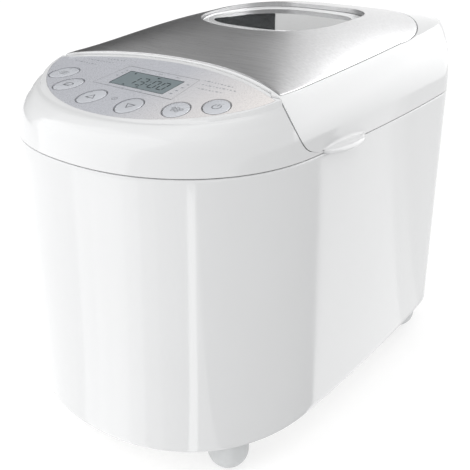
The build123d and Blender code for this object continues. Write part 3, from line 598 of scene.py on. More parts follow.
def close_holes(bm, rims):
    """Walls of the openings: each edge of an outer rim joins the matching edge of the inner rim."""
    def middle(edge):
        return (edge.verts[0].co + edge.verts[1].co) / 2

    def is_outer(edge):
        place = middle(edge) / MM
        return place.y > BACK_Y - BACK_BOW * (place.x / CORNER_BACK_X) ** 2 - WALL / 2

    outer = [edge for edge in rims if is_outer(edge)]
    inner = [edge for edge in rims if not is_outer(edge)]
    for edge in outer:
        mate = min(inner, key=lambda other: (middle(other) - middle(edge)).length)
        a, b = edge.verts
        c, d = mate.verts
        if (a.co - c.co).length > (a.co - d.co).length:
            c, d = d, c
        bm.faces.new((a, b, d, c))


# ---- front cover and panel ----------------------------------------------------------
COVER_SECTIONS = np.array([
    (SEAM_HIGH, SEAM_HIGH, 0.0, 0.0, 0.0),
    (229.9, 232.0, 1.2, 3.1, 1.2),
    (236.8, 242.0, 2.6, 6.8, 2.6),
    (242.4, 253.0, 4.6, 12.0, 4.6),
    (247.4, 267.0, 6.8, 17.0, 6.8),
    (251.0, 290.0, 9.0, 22.5, 9.0),
    (257.0, 296.0, 13.0, 36.0, 13.0),
])


def cover_section(t):
    """Heights at the front and back and the insets of the cover's dome, smooth between its sections."""
    k = min(int(t), len(COVER_SECTIONS) - 2)
    f = t - k
    b, c = COVER_SECTIONS[k], COVER_SECTIONS[k + 1]
    a = COVER_SECTIONS[k - 1] if k else 2 * b - c
    d = COVER_SECTIONS[k + 2] if k + 2 < len(COVER_SECTIONS) else 2 * c - b
    return curve_point(a, b, c, d, f)


def cover_half(t, grow):
    """Right half of the dome at one section: from the centre line to the S-shaped seam."""
    z_front, z_back, side, front, back = cover_section(t)

    def level(y):
        return z_front + (z_back - z_front) * (y - COVER_FRONT_Y) / COVER_RUN

    path = half_outline(HALF_W, NOSE_Y, side + grow, front + grow, back + grow)
    k, end = cut(path, level, -grow)
    part = resample(np.vstack([path[:k], end]), COVER_COLS)
    return np.array([(x, y, level(y)) for x, y in part])


def cover_rows(grow, count, drop):
    """Rows of the dome up to the panel, its top flattened softly onto the panel's plane."""
    rows = []
    for t in np.linspace(0.0, PANEL_SECTION, count):
        row = cover_half(t, grow)
        soft = PANEL_SOFT * (1 - (t / PANEL_SECTION) ** 5) + 0.01
        for point in row:
            plane = panel_height(point[1]) - drop
            over = point[2] - plane
            if t == PANEL_SECTION or over > soft:
                point[2] = plane
            elif over > -soft:
                point[2] -= (over + soft) ** 2 / (4 * soft)
        rows.append(row)
    return rows


def with_wall(row, plan, bottom, top_of):
    """Adds the seam wall's columns to a row of skin; they rise with the row between bottom and top."""
    x, y, z = row[-1]
    share = (z - bottom) / max(1e-6, top_of(x, y) - bottom)
    wall = [(u, v, bottom + min(1.0, share) * (top_of(u, v) - bottom)) for u, v in plan[1:]]
    return list(map(tuple, row)) + wall


def lens_point(x, ahead, grow):
    """A point of the panel's lens shape, ahead of or behind the tips, grown outwards."""
    tip = TIP_X + TIP_GROW * grow
    x = max(-tip, min(tip, x))
    share = (x / tip) ** 2
    if ahead:
        return x, TIP_Y - (PANEL_DEPTH + grow) * (1 - share) ** (2 / 3)
    return x, (PANEL_BACK_Y + grow) * (1 - share) + TIP_Y * share


def make_cover():
    def top(x, y):
        return panel_height(y)

    def top_inside(x, y):
        return panel_height(y) - WALL - 0.4

    def ring(row, lobe, middle, high):
        plan = wall_path(row[-1][:2], lobe, middle)
        return mirrored(with_wall(row, plan, SEAM_HIGH, high))

    rows = cover_rows(0.0, 34, 0.0)
    outer = [ring(row, LOBE_X, -SEAM_GAP, top) for row in rows]
    first = cover_rows(0.45, 3, 0.0)[0]
    rings = [ring(first, LOBE_X + 0.3, -SEAM_GAP - 0.4, top)] + outer
    rim = outer[-1]
    reach = max(p[0] for p in rim)
    columns = len(rim)
    half = COVER_COLS

    def lens_ring(grow, depth):
        made = []
        for i, (x, y, _) in enumerate(rim):
            ahead = i < half or i > columns - half
            px, py = lens_point(x / reach * (TIP_X + TIP_GROW * grow), ahead, grow)
            made.append(on_panel(px, panel_v(py), depth))
        return made

    rings += [lens_ring(0.15, 0.0), lens_ring(0.15, -OVERLAY_T), lens_ring(-3.0, -OVERLAY_T),
              lens_ring(-3.0, -WALL)]
    inner = cover_rows(WALL, 12, WALL + 0.4)
    inside = [ring(row, LOBE_X + WALL, -SEAM_GAP - WALL, top_inside) for row in inner]
    rings += inside[::-1]
    cover = tube("cover_shell", rings, "root", WHITE)
    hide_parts("front_cover")


def oval(x, y, grow, count=48):
    """Outline of a button in panel coordinates, its long axis aimed at the centre line."""
    angle = math.atan2(y - BUTTON_AIM_Y, x)
    c, s = math.cos(angle), math.sin(angle)
    loop = []
    for k in range(count):
        a = 2 * math.pi * k / count
        u, v = (BUTTON_A + grow) * math.cos(a), (BUTTON_B + grow) * math.sin(a)
        loop.append((x + u * c - v * s, panel_v(y) + u * s + v * c))
    return loop


def rectangle(x, v, width, depth):
    return [(x - width / 2, v - depth / 2), (x + width / 2, v - depth / 2),
            (x + width / 2, v + depth / 2), (x - width / 2, v + depth / 2)]


def rounded_rectangle(x, v, width, depth, r, count=6):
    loop = []
    for cx, cv, start in ((1, 1, 0), (-1, 1, 90), (-1, -1, 180), (1, -1, 270)):
        for k in range(count + 1):
            a = math.radians(start + 90 * k / count)
            loop.append((x + cx * (width / 2 - r) + r * math.cos(a),
                         v + cv * (depth / 2 - r) + r * math.sin(a)))
    return loop


def lens_loop(grow):
    front = [lens_point(-TIP_X * math.cos(math.pi * k / 72), True, grow) for k in range(73)]
    back = [lens_point(TIP_X * math.cos(math.pi * k / 48), False, grow) for k in range(1, 48)]
    return [(x, panel_v(y)) for x, y in front + back]


def make_overlay():
    loops = [[lens_loop(0.0)] + [oval(x, y, BUTTON_GAP) for x, y in BUTTONS.values()]
             + [rounded_rectangle(0, panel_v(LCD_Y), LCD_W + 0.2, LCD_D + 0.2, 1.1)]]
    mesh = flat_mesh("panel_film_painted_highlight", loops, -OVERLAY_T + 0.02, 0.0, panel_place)
    film = finish_piece("panel_film_painted_highlight", mesh, "root", FILM_PAINTED_HIGHLIGHT)
    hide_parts("panel_overlay")


def stroke(points, width, closed=False):
    """Outline or ring of a printed line through points, of constant width."""
    pts = [np.array(p, float) for p in points]
    n = len(pts)
    left, right = [], []
    for i in range(n):
        before = pts[i - 1] if (closed or i > 0) else pts[i]
        after = pts[(i + 1) % n] if (closed or i < n - 1) else pts[i]
        along = after - before
        along = along / max(1e-9, np.linalg.norm(along))
        side = np.array([-along[1], along[0]]) * width / 2
        if 0 < i < n - 1 or closed:
            a = pts[i] - before
            a = a / max(1e-9, np.linalg.norm(a))
            side = side / max(0.45, abs(np.dot(a, along)))
        left.append(tuple(pts[i] + side))
        right.append(tuple(pts[i] - side))
    if closed:
        area = sum(left[i - 1][0] * left[i][1] - left[i][0] * left[i - 1][1] for i in range(n))
        other = sum(right[i - 1][0] * right[i][1] - right[i][0] * right[i - 1][1] for i in range(n))
        return [left, right] if abs(area) > abs(other) else [right, left]
    return [left + right[::-1]]


def circle(x, v, r, count=20, start=0.0, sweep=360.0):
    steps = count if sweep >= 360 else count + 1
    return [(x + r * math.cos(math.radians(start + sweep * k / count)),
             v + r * math.sin(math.radians(start + sweep * k / count))) for k in range(steps)]


def printed(name, shapes, body, material, height=0.0):
    """Thin printed marks on the panel, a few hundredths of a millimetre thick."""
    mesh = flat_mesh(name, shapes, height + 0.002, height + PRINT_T, panel_place)
    return finish_piece(name, mesh, body, material)


def icon(kind, x, v):
    """Line icon of a button, about 6 mm across, in panel coordinates."""
    w = 0.55
    if kind == "menu":
        return [stroke([(x - 3.3, v + d), (x + 3.3, v + d)], w) for d in (-1.9, 0.0, 1.9)]
    if kind == "size":
        loaf = [(x - 2.9, v - 1.9), (x + 2.9, v - 1.9), (x + 2.9, v + 0.4), (x + 3.4, v + 1.3),
                (x + 2.4, v + 2.3), (x, v + 2.6), (x - 2.4, v + 2.3), (x - 3.4, v + 1.3), (x - 2.9, v + 0.4)]
        return [stroke(loaf, w, True), stroke([(x - 1.3, v), (x + 1.3, v)], w)]
    if kind == "up":
        return [stroke([(x - 3.2, v - 2.0), (x + 3.2, v - 2.0), (x, v + 3.0)], w, True)]
    if kind == "down":
        return [stroke([(x - 3.2, v + 2.0), (x, v - 3.0), (x + 3.2, v + 2.0)], w, True)]
    if kind == "crust":
        shapes = []
        for dx, dv in ((-3.1, 1.3), (0.0, 1.7), (3.1, 1.3), (-1.6, -1.6), (1.6, -1.6)):
            shapes.append(stroke(circle(x + dx, v + dv, 1.15, 12), w * 0.8, True))
        return shapes
    arc = circle(x, v, 2.9, 20, 125, 290)
    return [stroke(arc, w), stroke([(x, v + 0.6), (x, v + 3.6)], w)]


def make_buttons():
    for name, (x, y) in BUTTONS.items():
        profile = [(-3.4, -0.3), (-0.45, 0.0), (-0.18, -0.06), (-0.04, -0.25), (0.0, -0.6)]
        rings = []
        for depth, grow in profile:
            rings.append([on_panel(u, v, depth) for u, v in oval(x, y, grow)])
        body = f"button_{name}_key"
        key = tube(f"key_{name}", rings, body, KEY, capped=True, sharp=60.0)
        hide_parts(f"button_{name}")
        printed(f"icon_{name}", icon(name, x, panel_v(y)), body, INK)


def dashes(rows):
    """Rows of tiny blocks in place of small print. Each row is x, y, the blocks' lengths and its slope."""
    gap = 1.7
    shapes = []
    for x, y, lengths, slope in rows:
        for length in lengths:
            v = panel_v(y)
            shapes.append([rectangle(x + length / 2, v, length, 1.0)])
            x += length + gap
            y += slope * (length + gap)
    return shapes


def make_prints():
    shapes = [[oval(x, y, 0.95), oval(x, y, 0.42)] for x, y in BUTTONS.values()]
    back, front = LCD_Y + 17.0, LCD_Y - 14.5
    frame_line = [(-32.5, panel_v(back)), (32.5, panel_v(back)),
                  (36.5, panel_v(front)), (-36.5, panel_v(front))]
    shapes.append(stroke(frame_line, 0.28, True))
    shapes.append(stroke(circle(0, panel_v(-140.5), 1.9, 18), 0.3, True))
    shapes.append(stroke([(0, panel_v(-139.4)), (0, panel_v(-140.5)), (0.9, panel_v(-140.9))], 0.28))
    printed("panel_marks", shapes, "root", INK)

    ticks = []
    for x in (-22, -8, 8):
        ticks.append(stroke([(x, panel_v(LCD_Y - 11.6)), (x - 0.6, panel_v(LCD_Y - 14.0))], 0.4))
    for x in (-16, 0, 16):
        ticks.append([rectangle(x, panel_v(LCD_Y + 14.0), 4.2, 0.6)])
    for k in range(4):
        ticks.append([rectangle(29.5 + 0.4 * k, panel_v(LCD_Y - 7.5 + 5.0 * k), 2.0, 1.2)])
    for k in range(3):
        ticks.append([rectangle(-29.0 + 0.2 * k, panel_v(LCD_Y + 1.0 + 4.5 * k), 1.6, 1.0)])
    left = [(-82.0, -102.5, (1.4, 0.8, 2.0, 0.8, 1.2, 0.8, 1.8, 0.8), 0.0),
            (-74.0, -96.8, (0.8, 1.6, 0.8, 2.2, 0.8, 1.2, 0.8, 1.6, 0.8), 0.06),
            (-60.0, -91.0, (1.6, 0.8, 1.2, 2.0, 0.8, 1.4), 0.10)]
    right = [(41.0, -106.0, (0.8, 1.8, 0.8, 1.2, 0.8, 2.0, 0.8), 0.02),
             (39.0, -100.2, (1.4, 0.8, 2.0, 0.8, 1.2, 0.8, 1.8, 0.8, 1.2, 1.6), 0.0),
             (36.5, -94.6, (0.8, 2.0, 0.8, 1.2, 0.8, 1.6, 0.8, 2.0, 0.8), -0.05)]
    ticks += dashes(left + right)
    printed("panel_small_print", ticks, "root", INK_PALE)


SEGMENTS = {"0": "abcdef", "1": "bc", "3": "abgcd"}


def digit(mark, x, v, width, height):
    """Seven-segment figure as flat bars."""
    w, h, t = width / 2, height / 2, 0.95
    bars = {
        "a": (0, h, 1), "g": (0, 0, 1), "d": (0, -h, 1),
        "f": (-w, h / 2, 0), "b": (w, h / 2, 0), "e": (-w, -h / 2, 0), "c": (w, -h / 2, 0),
    }
    shapes = []
    for key in SEGMENTS[mark]:
        dx, dv, level = bars[key]
        size = (width - 1.3, t) if level else (t, h - 1.3)
        shapes.append([rectangle(x + dx, v + dv, *size)])
    return shapes


def make_display():
    v = panel_v(LCD_Y)
    window = rounded_rectangle(0, v, LCD_W, LCD_D, 1.0)
    mesh = flat_mesh("display", [[window]], -1.8, -0.1, panel_place)
    pane = finish_piece("display", mesh, "root", LCD_BACK)
    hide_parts("lcd_window")
    shapes = []
    for mark, x in (("1", -10.5), ("3", -2.5), ("0", 8.3), ("0", 16.5)):
        shapes += digit(mark, x, v - 0.8, 4.9, 10.6)
    shapes += [[rectangle(2.9, v + 1.4, 1.0, 1.0)], [rectangle(2.9, v - 3.0, 1.0, 1.0)]]
    shapes += [[[(x - 1.3, v + 8.9), (x + 1.3, v + 8.9), (x, v + 7.0)]] for x in (-18.0, 4.0)]
    shapes += [[[(x - 1.3, v - 9.4), (x, v - 7.6), (x + 1.3, v - 9.4)]] for x in (-13.0, 0.0)]
    printed("display_figures", shapes, "root", LCD_INK, height=-0.1)
    border = [[window, rounded_rectangle(0, v, LCD_W - 1.0, LCD_D - 1.0, 0.6)]]
    printed("display_border", border, "root", LCD_INK, height=-0.1)


# ---- lid ----------------------------------------------------------------------------
TAB_ROWS = [
    # plain height, the tab's height, share of the tab's reach, millimetres short of it
    (0.0, 0.0, 0.0, 0.0), (0.25, 0.0, 0.55, 0.0), (0.55, 0.0, 1.0, 1.3), (0.95, 0.35, 1.0, 0.35),
    (1.45, 1.2, 1.0, 0.0), (2.0, 2.3, 1.0, 0.05), (2.6, 3.2, 1.0, 0.5), (3.2, 3.7, 1.0, 1.5),
    (3.9, 3.65, 0.72, 1.0), (4.7, 3.45, 0.38, 0.4), (5.4, 3.4, 0.14, 0.1), (6.0, 3.8, 0.04, 0.0),
    (7.0, 5.2, 0.01, 0.0), (8.6, 8.6, 0.0, 0.0),
]


def tab_reach(y):
    off = (y - TAB_Y) / TAB_HALF
    return TAB_REACH * (1 - off * off) ** 0.58 if abs(off) < 1 else 0.0


def lid_path(level, side, front, back, shift):
    path = half_outline(HALF_W, NOSE_Y, side, front, back)
    k, start = cut(path, level, shift)
    return resample(np.vstack([start, path[k:]]), LID_COLS)


def lid_ring(points, lobe, middle, top_of):
    """Closed ring: the hidden front wall from the centre line to the seam, then the skirt to the back."""
    plan = wall_path(points[0][:2], lobe, middle)
    half = with_wall(points[::-1], plan, SEAM_HIGH, top_of)
    return mirrored(half[::-1])


def skirt_row(share, extra=0.0, sink=0.0, shift=LID_GAP):
    def level(y):
        return SEAM_HIGH + share * (edge_height(y) - sink - SEAM_HIGH)

    inset = side_inset(share) + extra
    path = lid_path(level, inset, 1.5 * inset, inset, shift)
    return [(x, y, level(y)) for x, y in path]


def tab_row(plain, raised, reach_share, short):
    """A row near the seam: it runs along the skirt, and rises and swells out into the finger tab."""
    path = lid_path(lambda y: SEAM_HIGH + plain, 0.0, 0.0, 0.0, LID_GAP)
    row = []
    for x, y in path:
        reach = tab_reach(y) if y < 0 else 0.0
        near = smooth((1.45 - abs(y - TAB_Y) / TAB_HALF) / 0.6) if y < 0 else 0.0
        height = raised * (0.35 + 0.65 * reach / TAB_REACH)
        out = max(0.0, reach * reach_share - short * smooth(reach / 4.0))
        z = SEAM_HIGH + plain + (height - plain) * near
        tuck = side_inset((z - SEAM_HIGH) / (edge_height(y) - SEAM_HIGH))
        z -= TAB_DROOP * out
        if y < BACK_TURN_Y:
            row.append((x + out - tuck, y, z))
        else:
            turned = max(0.0, (y - BACK_TURN_Y) / BACK_TURN_RUN)
            row.append((x - tuck * x / HALF_W, y - tuck * turned, z))
    return row


def plate_edge():
    """Where the steel plate ends beside each column of the lid's crease, as points in plan."""
    crease = skirt_row(1.0)
    tail = [p for p in crease if p[1] >= PLATE_CORNER_Y and p[0] > -0.01]
    start = len(crease) - len(tail)
    corner_w = EDGE_X - (PLATE_CORNER_Y - NOSE_Y) ** 2 / (2 * SIDE_R)
    turn = np.linspace(0.0, math.pi / 2, 60)
    depth = PLATE_BACK_Y - PLATE_CORNER_Y
    rear_x = corner_w * np.cos(turn) ** (2 / PLATE_CORNER_N)
    rear_y = PLATE_CORNER_Y + depth * np.sin(turn) ** (2 / PLATE_CORNER_N)
    rear = resample(np.stack([rear_x, rear_y], axis=1), len(tail))
    return [(x - 0.25, y) for x, y, _ in crease[:start]] + [tuple(point) for point in rear]


def lid_top_rows(crease_ring, target, shares):
    """Rows of the lid's top between its crease and the edge of the plate."""
    rows = []
    for share in shares:
        row = []
        for (x, y, z), (u, v) in zip(crease_ring, target):
            px, py = x + (u - x) * share, y + (v - y) * share
            row.append((px, py, z + (top_height(px, py) - z) * smooth(share / 0.4)))
        rows.append(row)
    return rows


def ring_target(crease_ring, skirt):
    """The plate's edge for every point of the closed ring, the front wall's included."""
    half = len(crease_ring) // 2 + 1
    wall = half - len(skirt)
    corner_x = skirt[0][0]
    reach = crease_ring[wall][0]
    plan = []
    for i in range(half):
        if i < wall:
            x = crease_ring[i][0] * corner_x / reach
            plan.append((x, lid_front(x) + PLATE_FRONT_GAP))
        else:
            x, y = skirt[i - wall]
            plan.append((x, max(y, lid_front(x) + PLATE_FRONT_GAP)))
    return plan + [(-x, y) for x, y in plan[::-1]][1:-1]


def shrunk(points, share):
    """Points in plan, drawn in towards the middle of the window."""
    return [(p[0] * share, WINDOW_Y + (p[1] - WINDOW_Y) * share) for p in points]


def make_lid():
    def top_inside(x, y):
        return top_height(x, y) - WALL - 1.2

    rows = [tab_row(*spec) for spec in TAB_ROWS]
    start = TAB_ROWS[-1][0] / (EDGE_Z - SEAM_HIGH)
    rows += [skirt_row(start + (1 - start) * k / 22) for k in range(1, 23)]
    outer = [lid_ring(row, LOBE_X - SEAM_GAP, 0.0, top_height) for row in rows]
    target = ring_target(outer[-1], plate_edge())
    rings = outer + lid_top_rows(outer[-1], target, (0.04, 0.1, 0.18, 0.28, 0.4, 0.55, 0.7, 0.85, 0.95, 1.0))
    rim = rings[-1]
    sunk = [(x, y, z - 2.0) for x, y, z in rim]
    ledge = [(x, y, top_height(x, y) - PLATE_T - 0.1) for x, y in shrunk(rim, 0.93)]
    groove = [(x, y, top_height(x, y) - 2.0) for x, y in shrunk(rim, 0.986)]
    step = [(x, y, z + 2.0 - PLATE_T - 0.1) for x, y, z in groove]
    under = [(x, y, z - 1.6) for x, y, z in ledge]
    rings += [sunk, groove, step, ledge, under]
    shares = (1.0, 0.94, 0.85, 0.72, 0.55, 0.35, 0.15, 0.0)
    inner = [skirt_row(share, WALL, 3.6, LID_GAP + WALL) for share in shares]
    rings += [lid_ring(row, LOBE_X - SEAM_GAP - WALL, WALL, top_inside) for row in inner]
    shell = tube("lid_skirt", rings, "lid", WHITE,
                 notch=((-HINGE_X, HINGE_FRONT_Y, SEAM_LOW - 5), (HINGE_X, BACK_Y + 5, HINGE_TOP_Z)))
    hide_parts("lid_shell")
    return target


def window_radius(angle, grow):
    a, b = WINDOW_A + grow, WINDOW_B + grow
    c, s = abs(math.cos(angle)) / a, abs(math.sin(angle)) / b
    return (c ** WINDOW_N + s ** WINDOW_N) ** (-1 / WINDOW_N)


def window_ring(angles, grow, height):
    ring = []
    for angle in angles:
        r = window_radius(angle, grow)
        x, y = r * math.cos(angle), WINDOW_Y + r * math.sin(angle)
        ring.append((x, y, height(x, y)))
    return ring


def make_plate(edge):
    """Brushed steel top with a rolled lip round the window."""
    edge = shrunk(edge, 0.991)
    angles = [math.atan2(y - WINDOW_Y, x) for x, y in edge]

    def row(share, drop, grow=0.7):
        made = []
        for (x, y), angle in zip(edge, angles):
            r = window_radius(angle, grow)
            u, v = r * math.cos(angle), WINDOW_Y + r * math.sin(angle)
            px, py = x + (u - x) * share, y + (v - y) * share
            made.append((px, py, top_height(px, py) - drop))
        return made

    rings = [row(0.004, PLATE_T), row(0.0, PLATE_T - 0.2), row(0.0, 0.25), row(0.002, 0.08), row(0.007, 0.0)]
    rings += [row(0.007 + 0.993 * (k / 26), 0.0) for k in range(1, 27)]
    for grow, drop in ((0.12, 0.02), (0.0, 0.14), (0.0, 0.6), (0.0, 1.5), (0.0, 3.2), (0.0, 5.0), (0.3, 5.3),
                       (0.6, 5.0), (0.6, 1.6), (0.65, 1.1), (0.7, PLATE_T)):
        rings.append(window_ring(angles, grow, lambda x, y, d=drop: top_height(x, y) - d))
    rings += [row(share, PLATE_T) for share in (0.8, 0.6, 0.4, 0.2)]
    plate = tube("lid_top_plate", rings, "lid", TOP_STEEL, sharp=50.0)
    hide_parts("lid_plate")


def make_bezel():
    """White ring between the plate's lip and the glass, with a fine groove."""
    angles = [2 * math.pi * k / 160 for k in range(160)]

    def outer_top(x, y):
        return min(top_height(x, y) - 2.1, 276.2)

    def sloped(share, drop=0.0):
        return lambda x, y: outer_top(x, y) * (1 - share) + (GLASS_TOP_Z + 0.35) * share - drop

    def level(z):
        return lambda x, y: z

    steps = [(-0.7, lambda x, y: outer_top(x, y) - 6.0), (-0.7, sloped(0.0, 0.5)), (-0.95, sloped(0.0, 0.1)),
             (-1.4, sloped(0.05)), (-4.7, sloped(0.45)), (-4.8, sloped(0.5, 0.5)), (-5.2, sloped(0.55, 0.5)),
             (-5.3, sloped(0.6)), (-8.3, sloped(0.95)), (-8.7, sloped(1.0, 0.1)),
             (-8.8, level(GLASS_TOP_Z + 0.02)), (-5.2, level(GLASS_TOP_Z + 0.02)), (-5.2, level(271.9)),
             (-9.3, level(271.6)), (-9.5, level(271.2)), (-9.5, level(268.4)), (-5.0, level(267.8))]
    rings = [window_ring(angles, grow, height) for grow, height in steps]
    ring = tube("window_ring", rings, "lid", WHITE)
    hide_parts("window_bezel")


# ---- feet ---------------------------------------------------------------------------
def make_feet():
    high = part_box("feet")[1]
    x0, y0 = high.x / MM - FOOT_R, high.y / MM - FOOT_R
    centre_z = FOOT_R - FOOT_FLAT - LIFT
    flat = math.degrees(math.acos((FOOT_R - FOOT_FLAT) / FOOT_R))
    profile = [(0.6, -LIFT)]
    for k in range(15):
        a = math.radians(flat + (90 - flat) * k / 14)
        profile.append((FOOT_R * math.sin(a), centre_z - FOOT_R * math.cos(a)))
    profile += [(FOOT_R, centre_z + 2.0), (FOOT_R, BODY_Z0 - 0.4), (FOOT_R - 0.4, BODY_Z0)]
    turns = [2 * math.pi * k / 48 for k in range(48)]
    for i, (sx, sy) in enumerate(((-1, -1), (1, -1), (-1, 1), (1, 1))):
        rings = [[(sx * x0 + r * math.cos(a), sy * y0 + r * math.sin(a), z) for a in turns]
                 for r, z in profile]
        foot = tube(f"foot_{i + 1}", rings, "root", FOOT, capped=True)
        if i == 0:
            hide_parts("feet")


# ---- camera, floor and light --------------------------------------------------------
AZIMUTH, ELEVATION, ROLL = math.radians(38.99), math.radians(24.62), math.radians(0.46)
AIM = Vector((0.0001, -0.0175, 0.1076 + LIFT * MM))
DISTANCE = 0.6247
LENS = 57.72


def make_camera():
    back = Vector((math.sin(AZIMUTH) * math.cos(ELEVATION), -math.cos(AZIMUTH) * math.cos(ELEVATION),
                   math.sin(ELEVATION)))
    turn = (-back).to_track_quat("-Z", "Y").to_matrix().to_4x4() @ Matrix.Rotation(ROLL, 4, "Z")
    data = bpy.data.cameras.new("camera")
    data.lens = LENS
    data.sensor_width = 36.0
    camera = bpy.data.objects.new("camera", data)
    camera.matrix_world = Matrix.Translation(AIM + back * DISTANCE) @ turn
    bpy.context.scene.collection.objects.link(camera)
    bpy.context.scene.camera = camera
    return camera


def emitter(name, strength, far=None, axis="X"):
    """Glow of a studio card; with a second strength it changes evenly across the card."""
    material = bpy.data.materials.new(name)
    material.use_nodes = True
    nodes, links = material.node_tree.nodes, material.node_tree.links
    nodes.clear()
    glow = node(nodes, "ShaderNodeEmission", Strength=strength)
    out = node(nodes, "ShaderNodeOutputMaterial")
    links.new(glow.outputs[0], out.inputs["Surface"])
    if far is not None:
        place = node(nodes, "ShaderNodeTexCoord")
        split = node(nodes, "ShaderNodeSeparateXYZ")
        across = node(nodes, "ShaderNodeMapRange")
        across.inputs["To Min"].default_value = strength
        across.inputs["To Max"].default_value = far
        links.new(place.outputs["Generated"], split.inputs["Vector"])
        links.new(split.outputs[axis], across.inputs["Value"])
        links.new(across.outputs["Result"], glow.inputs["Strength"])
    return material


def reflected_card(name, points, strength, far=None, axis="X"):
    """Studio card that only shows in reflections, a flat shape through points in metres."""
    mesh = bpy.data.meshes.new(name)
    mesh.from_pydata(points, [], [tuple(range(len(points)))])
    mesh.materials.append(emitter(name, strength, far, axis))
    made = bpy.data.objects.new(name, mesh)
    bpy.context.scene.collection.objects.link(made)
    made.visible_camera = False
    made.visible_diffuse = False
    made.visible_shadow = False
    made.visible_transmission = False
    return made


def upright_card(name, start, end, distance, low, high, strength, far=None, axis="X"):
    """Upright card between two azimuths in degrees, between two elevations in degrees."""
    corners = []
    for azimuth in (start, end):
        a = math.radians(azimuth)
        corners.append((math.sin(a) * distance, -math.cos(a) * distance))
    bottom, top = (AIM.z + distance * math.tan(math.radians(e)) for e in (low, high))
    (x0, y0), (x1, y1) = corners
    points = [(x0, y0, bottom), (x1, y1, bottom), (x1, y1, top), (x0, y0, top)]
    return reflected_card(name, points, strength, far, axis)


def area_light(name, azimuth, elevation, distance, size, power):
    a, e = math.radians(azimuth), math.radians(elevation)
    out = Vector((math.sin(a) * math.cos(e), -math.cos(a) * math.cos(e), math.sin(e)))
    data = bpy.data.lights.new(name, "AREA")
    data.shape = "RECTANGLE"
    data.size, data.size_y = size
    data.energy = power
    lamp = bpy.data.objects.new(name, data)
    lamp.matrix_world = (Matrix.Translation(AIM + out * distance)
                         @ out.to_track_quat("Z", "Y").to_matrix().to_4x4())
    bpy.context.scene.collection.objects.link(lamp)
    return lamp


FLOOR_SIZE = 6.0
CARD_Z = 0.004          # reflected floor cards lie this far above the floor
SIDE_START = 1.02       # the side's cards start just outside the body
SIDE_REACH = 5.0        # and reach this many times as far as the body's side is
FRONT_REACH = 0.9
CEILING_Z = 2.2
# Where a line straight down from the camera, mirrored in the side, meets the floor.
MIRRORED_FOOT = (-0.133, -0.459)


def make_floor():
    s = FLOOR_SIZE
    mesh = bpy.data.meshes.new("floor")
    mesh.from_pydata([(-s, -s, 0), (s, -s, 0), (s, s, 0), (-s, s, 0)], [], [(0, 1, 2, 3)])
    floor = bpy.data.objects.new("floor", mesh)
    bpy.context.scene.collection.objects.link(floor)
    material, nodes, links, shader = new_material("floor")
    tone = object_noise(nodes, links, 3.0, detail=2.0)
    tint = ramp(nodes, links, tone.outputs["Fac"], 0.49, 0.50)
    links.new(tint.outputs["Color"], shader.inputs["Base Color"])
    shader.inputs["Emission Color"].default_value = (1, 1, 1, 1)
    shader.inputs["Emission Strength"].default_value = 0.56
    shader.inputs["Roughness"].default_value = 0.9
    shader.inputs["Specular IOR Level"].default_value = 0.1
    mesh.materials.append(material)


def make_lights():
    world = bpy.data.worlds.new("studio")
    bpy.context.scene.world = world
    world.use_nodes = True
    background = world.node_tree.nodes["Background"]
    background.inputs["Color"].default_value = (1.0, 1.0, 1.0, 1)
    background.inputs["Strength"].default_value = 0.93
    area_light("key", -36, 30, 1.6, (2.2, 2.2), 15.0)
    area_light("over", 0, 88, 2.2, (2.6, 2.6), 8.0)


def side_place(y, reach):
    """Point on the floor card's height, out past the side at y along the mirrored view."""
    foot_x, foot_y = MIRRORED_FOOT
    dx, dy = HALF_W * MM - foot_x, y - foot_y
    return (foot_x + dx * reach, foot_y + dy * reach, CARD_Z)


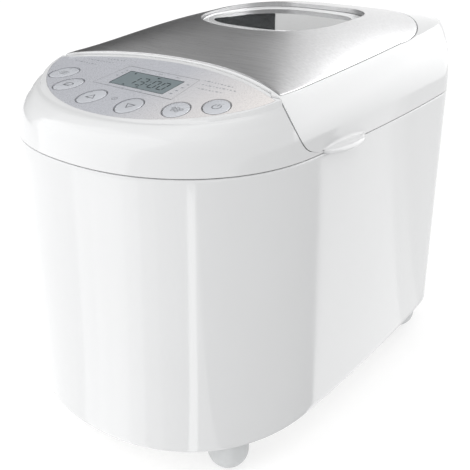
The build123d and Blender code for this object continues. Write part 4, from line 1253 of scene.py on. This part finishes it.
def make_side_cards():
    """The floor seen in the glossy side, in wedges whose edges look upright."""
    starts = (-0.070, 0.045, 0.105, 0.160, 0.30)
    for k, strength in enumerate((1.75, 1.75, 1.4, 1.2)):
        near, far = starts[k], starts[k + 1]
        wedge = [side_place(near, SIDE_START), side_place(near, SIDE_REACH), side_place(far, SIDE_REACH),
                 side_place(far, SIDE_START)]
        reflected_card(f"floor_light_{k}", wedge, strength)
    reflected_card("floor_shade", [side_place(starts[0], SIDE_START), (0.10, -0.14, CARD_Z),
                                   (1.2, -1.3, CARD_Z), (2.4, 0.0, CARD_Z),
                                   side_place(starts[0], SIDE_REACH)], 0.1)
    reflected_card("floor_strip", [(0.083, -0.172, CARD_Z), (0.422, -0.594, CARD_Z),
                                   (0.473, -0.549, CARD_Z), (0.090, -0.167, CARD_Z)], 4.0)


def make_front_cards():
    """Brighter floor seen in the round front, one wedge for each step of its normal in degrees."""
    edges = []
    for normal in (26, 20, 14, 8, 2, -4, -50):
        n, a = math.radians(normal), math.radians(2 * normal) - AZIMUTH
        x, y = 0.14 * math.sin(n), -0.187 * math.cos(n)
        edges.append([(x, y, CARD_Z), (x + FRONT_REACH * math.sin(a), y - FRONT_REACH * math.cos(a), CARD_Z)])
    for k, strength in enumerate((1.5, 2.3, 2.7, 2.4, 2.0, 1.3)):
        reflected_card(f"front_light_{k}", [*edges[k], *reversed(edges[k + 1])], strength)


def make_far_cards():
    """Cards seen in the lid: its side, its window and its steel plate."""
    upright_card("side_card_low", 122, 182, 1.9, -6, 8, 1.5, 3.6, "Z")
    upright_card("side_card_middle", 122, 182, 1.9, 8, 30, 3.6, 4.4, "Z")
    upright_card("side_card_high", 122, 182, 1.9, 30, 60, 4.2)
    upright_card("glass_card", 175, 215.5, 1.6, 3, 34, 1.2)
    upright_card("dark_card", 215.5, 285, 1.6, 3, 34, 0.02)
    upright_card("plate_bright", 228, 175, 1.8, 34, 52, 0.5, 1.75)
    upright_card("plate_dark", 285, 228, 1.8, 34, 52, 0.4, 0.48)
    for name, x0, x1, strength, far in (("ceiling_dark", -2.5, -1.0, 0.42, None),
                                        ("ceiling_bright", -1.0, 0.2, 0.42, 1.8)):
        corners = [(x0, -1.0, CEILING_Z), (x1, -1.0, CEILING_Z), (x1, 2.5, CEILING_Z), (x0, 2.5, CEILING_Z)]
        reflected_card(name, corners, strength, far)


def make_stage():
    make_floor()
    make_lights()
    make_side_cards()
    make_front_cards()
    make_far_cards()
    bpy.context.scene.view_settings.view_transform = "Standard"
    bpy.context.scene.view_settings.look = "None"


make_camera()
dress_cad()
make_body()
make_cover()
make_overlay()
make_prints()
make_display()
make_buttons()
plate_outline = make_lid()
make_plate(plate_outline)
make_bezel()
make_feet()
make_stage()
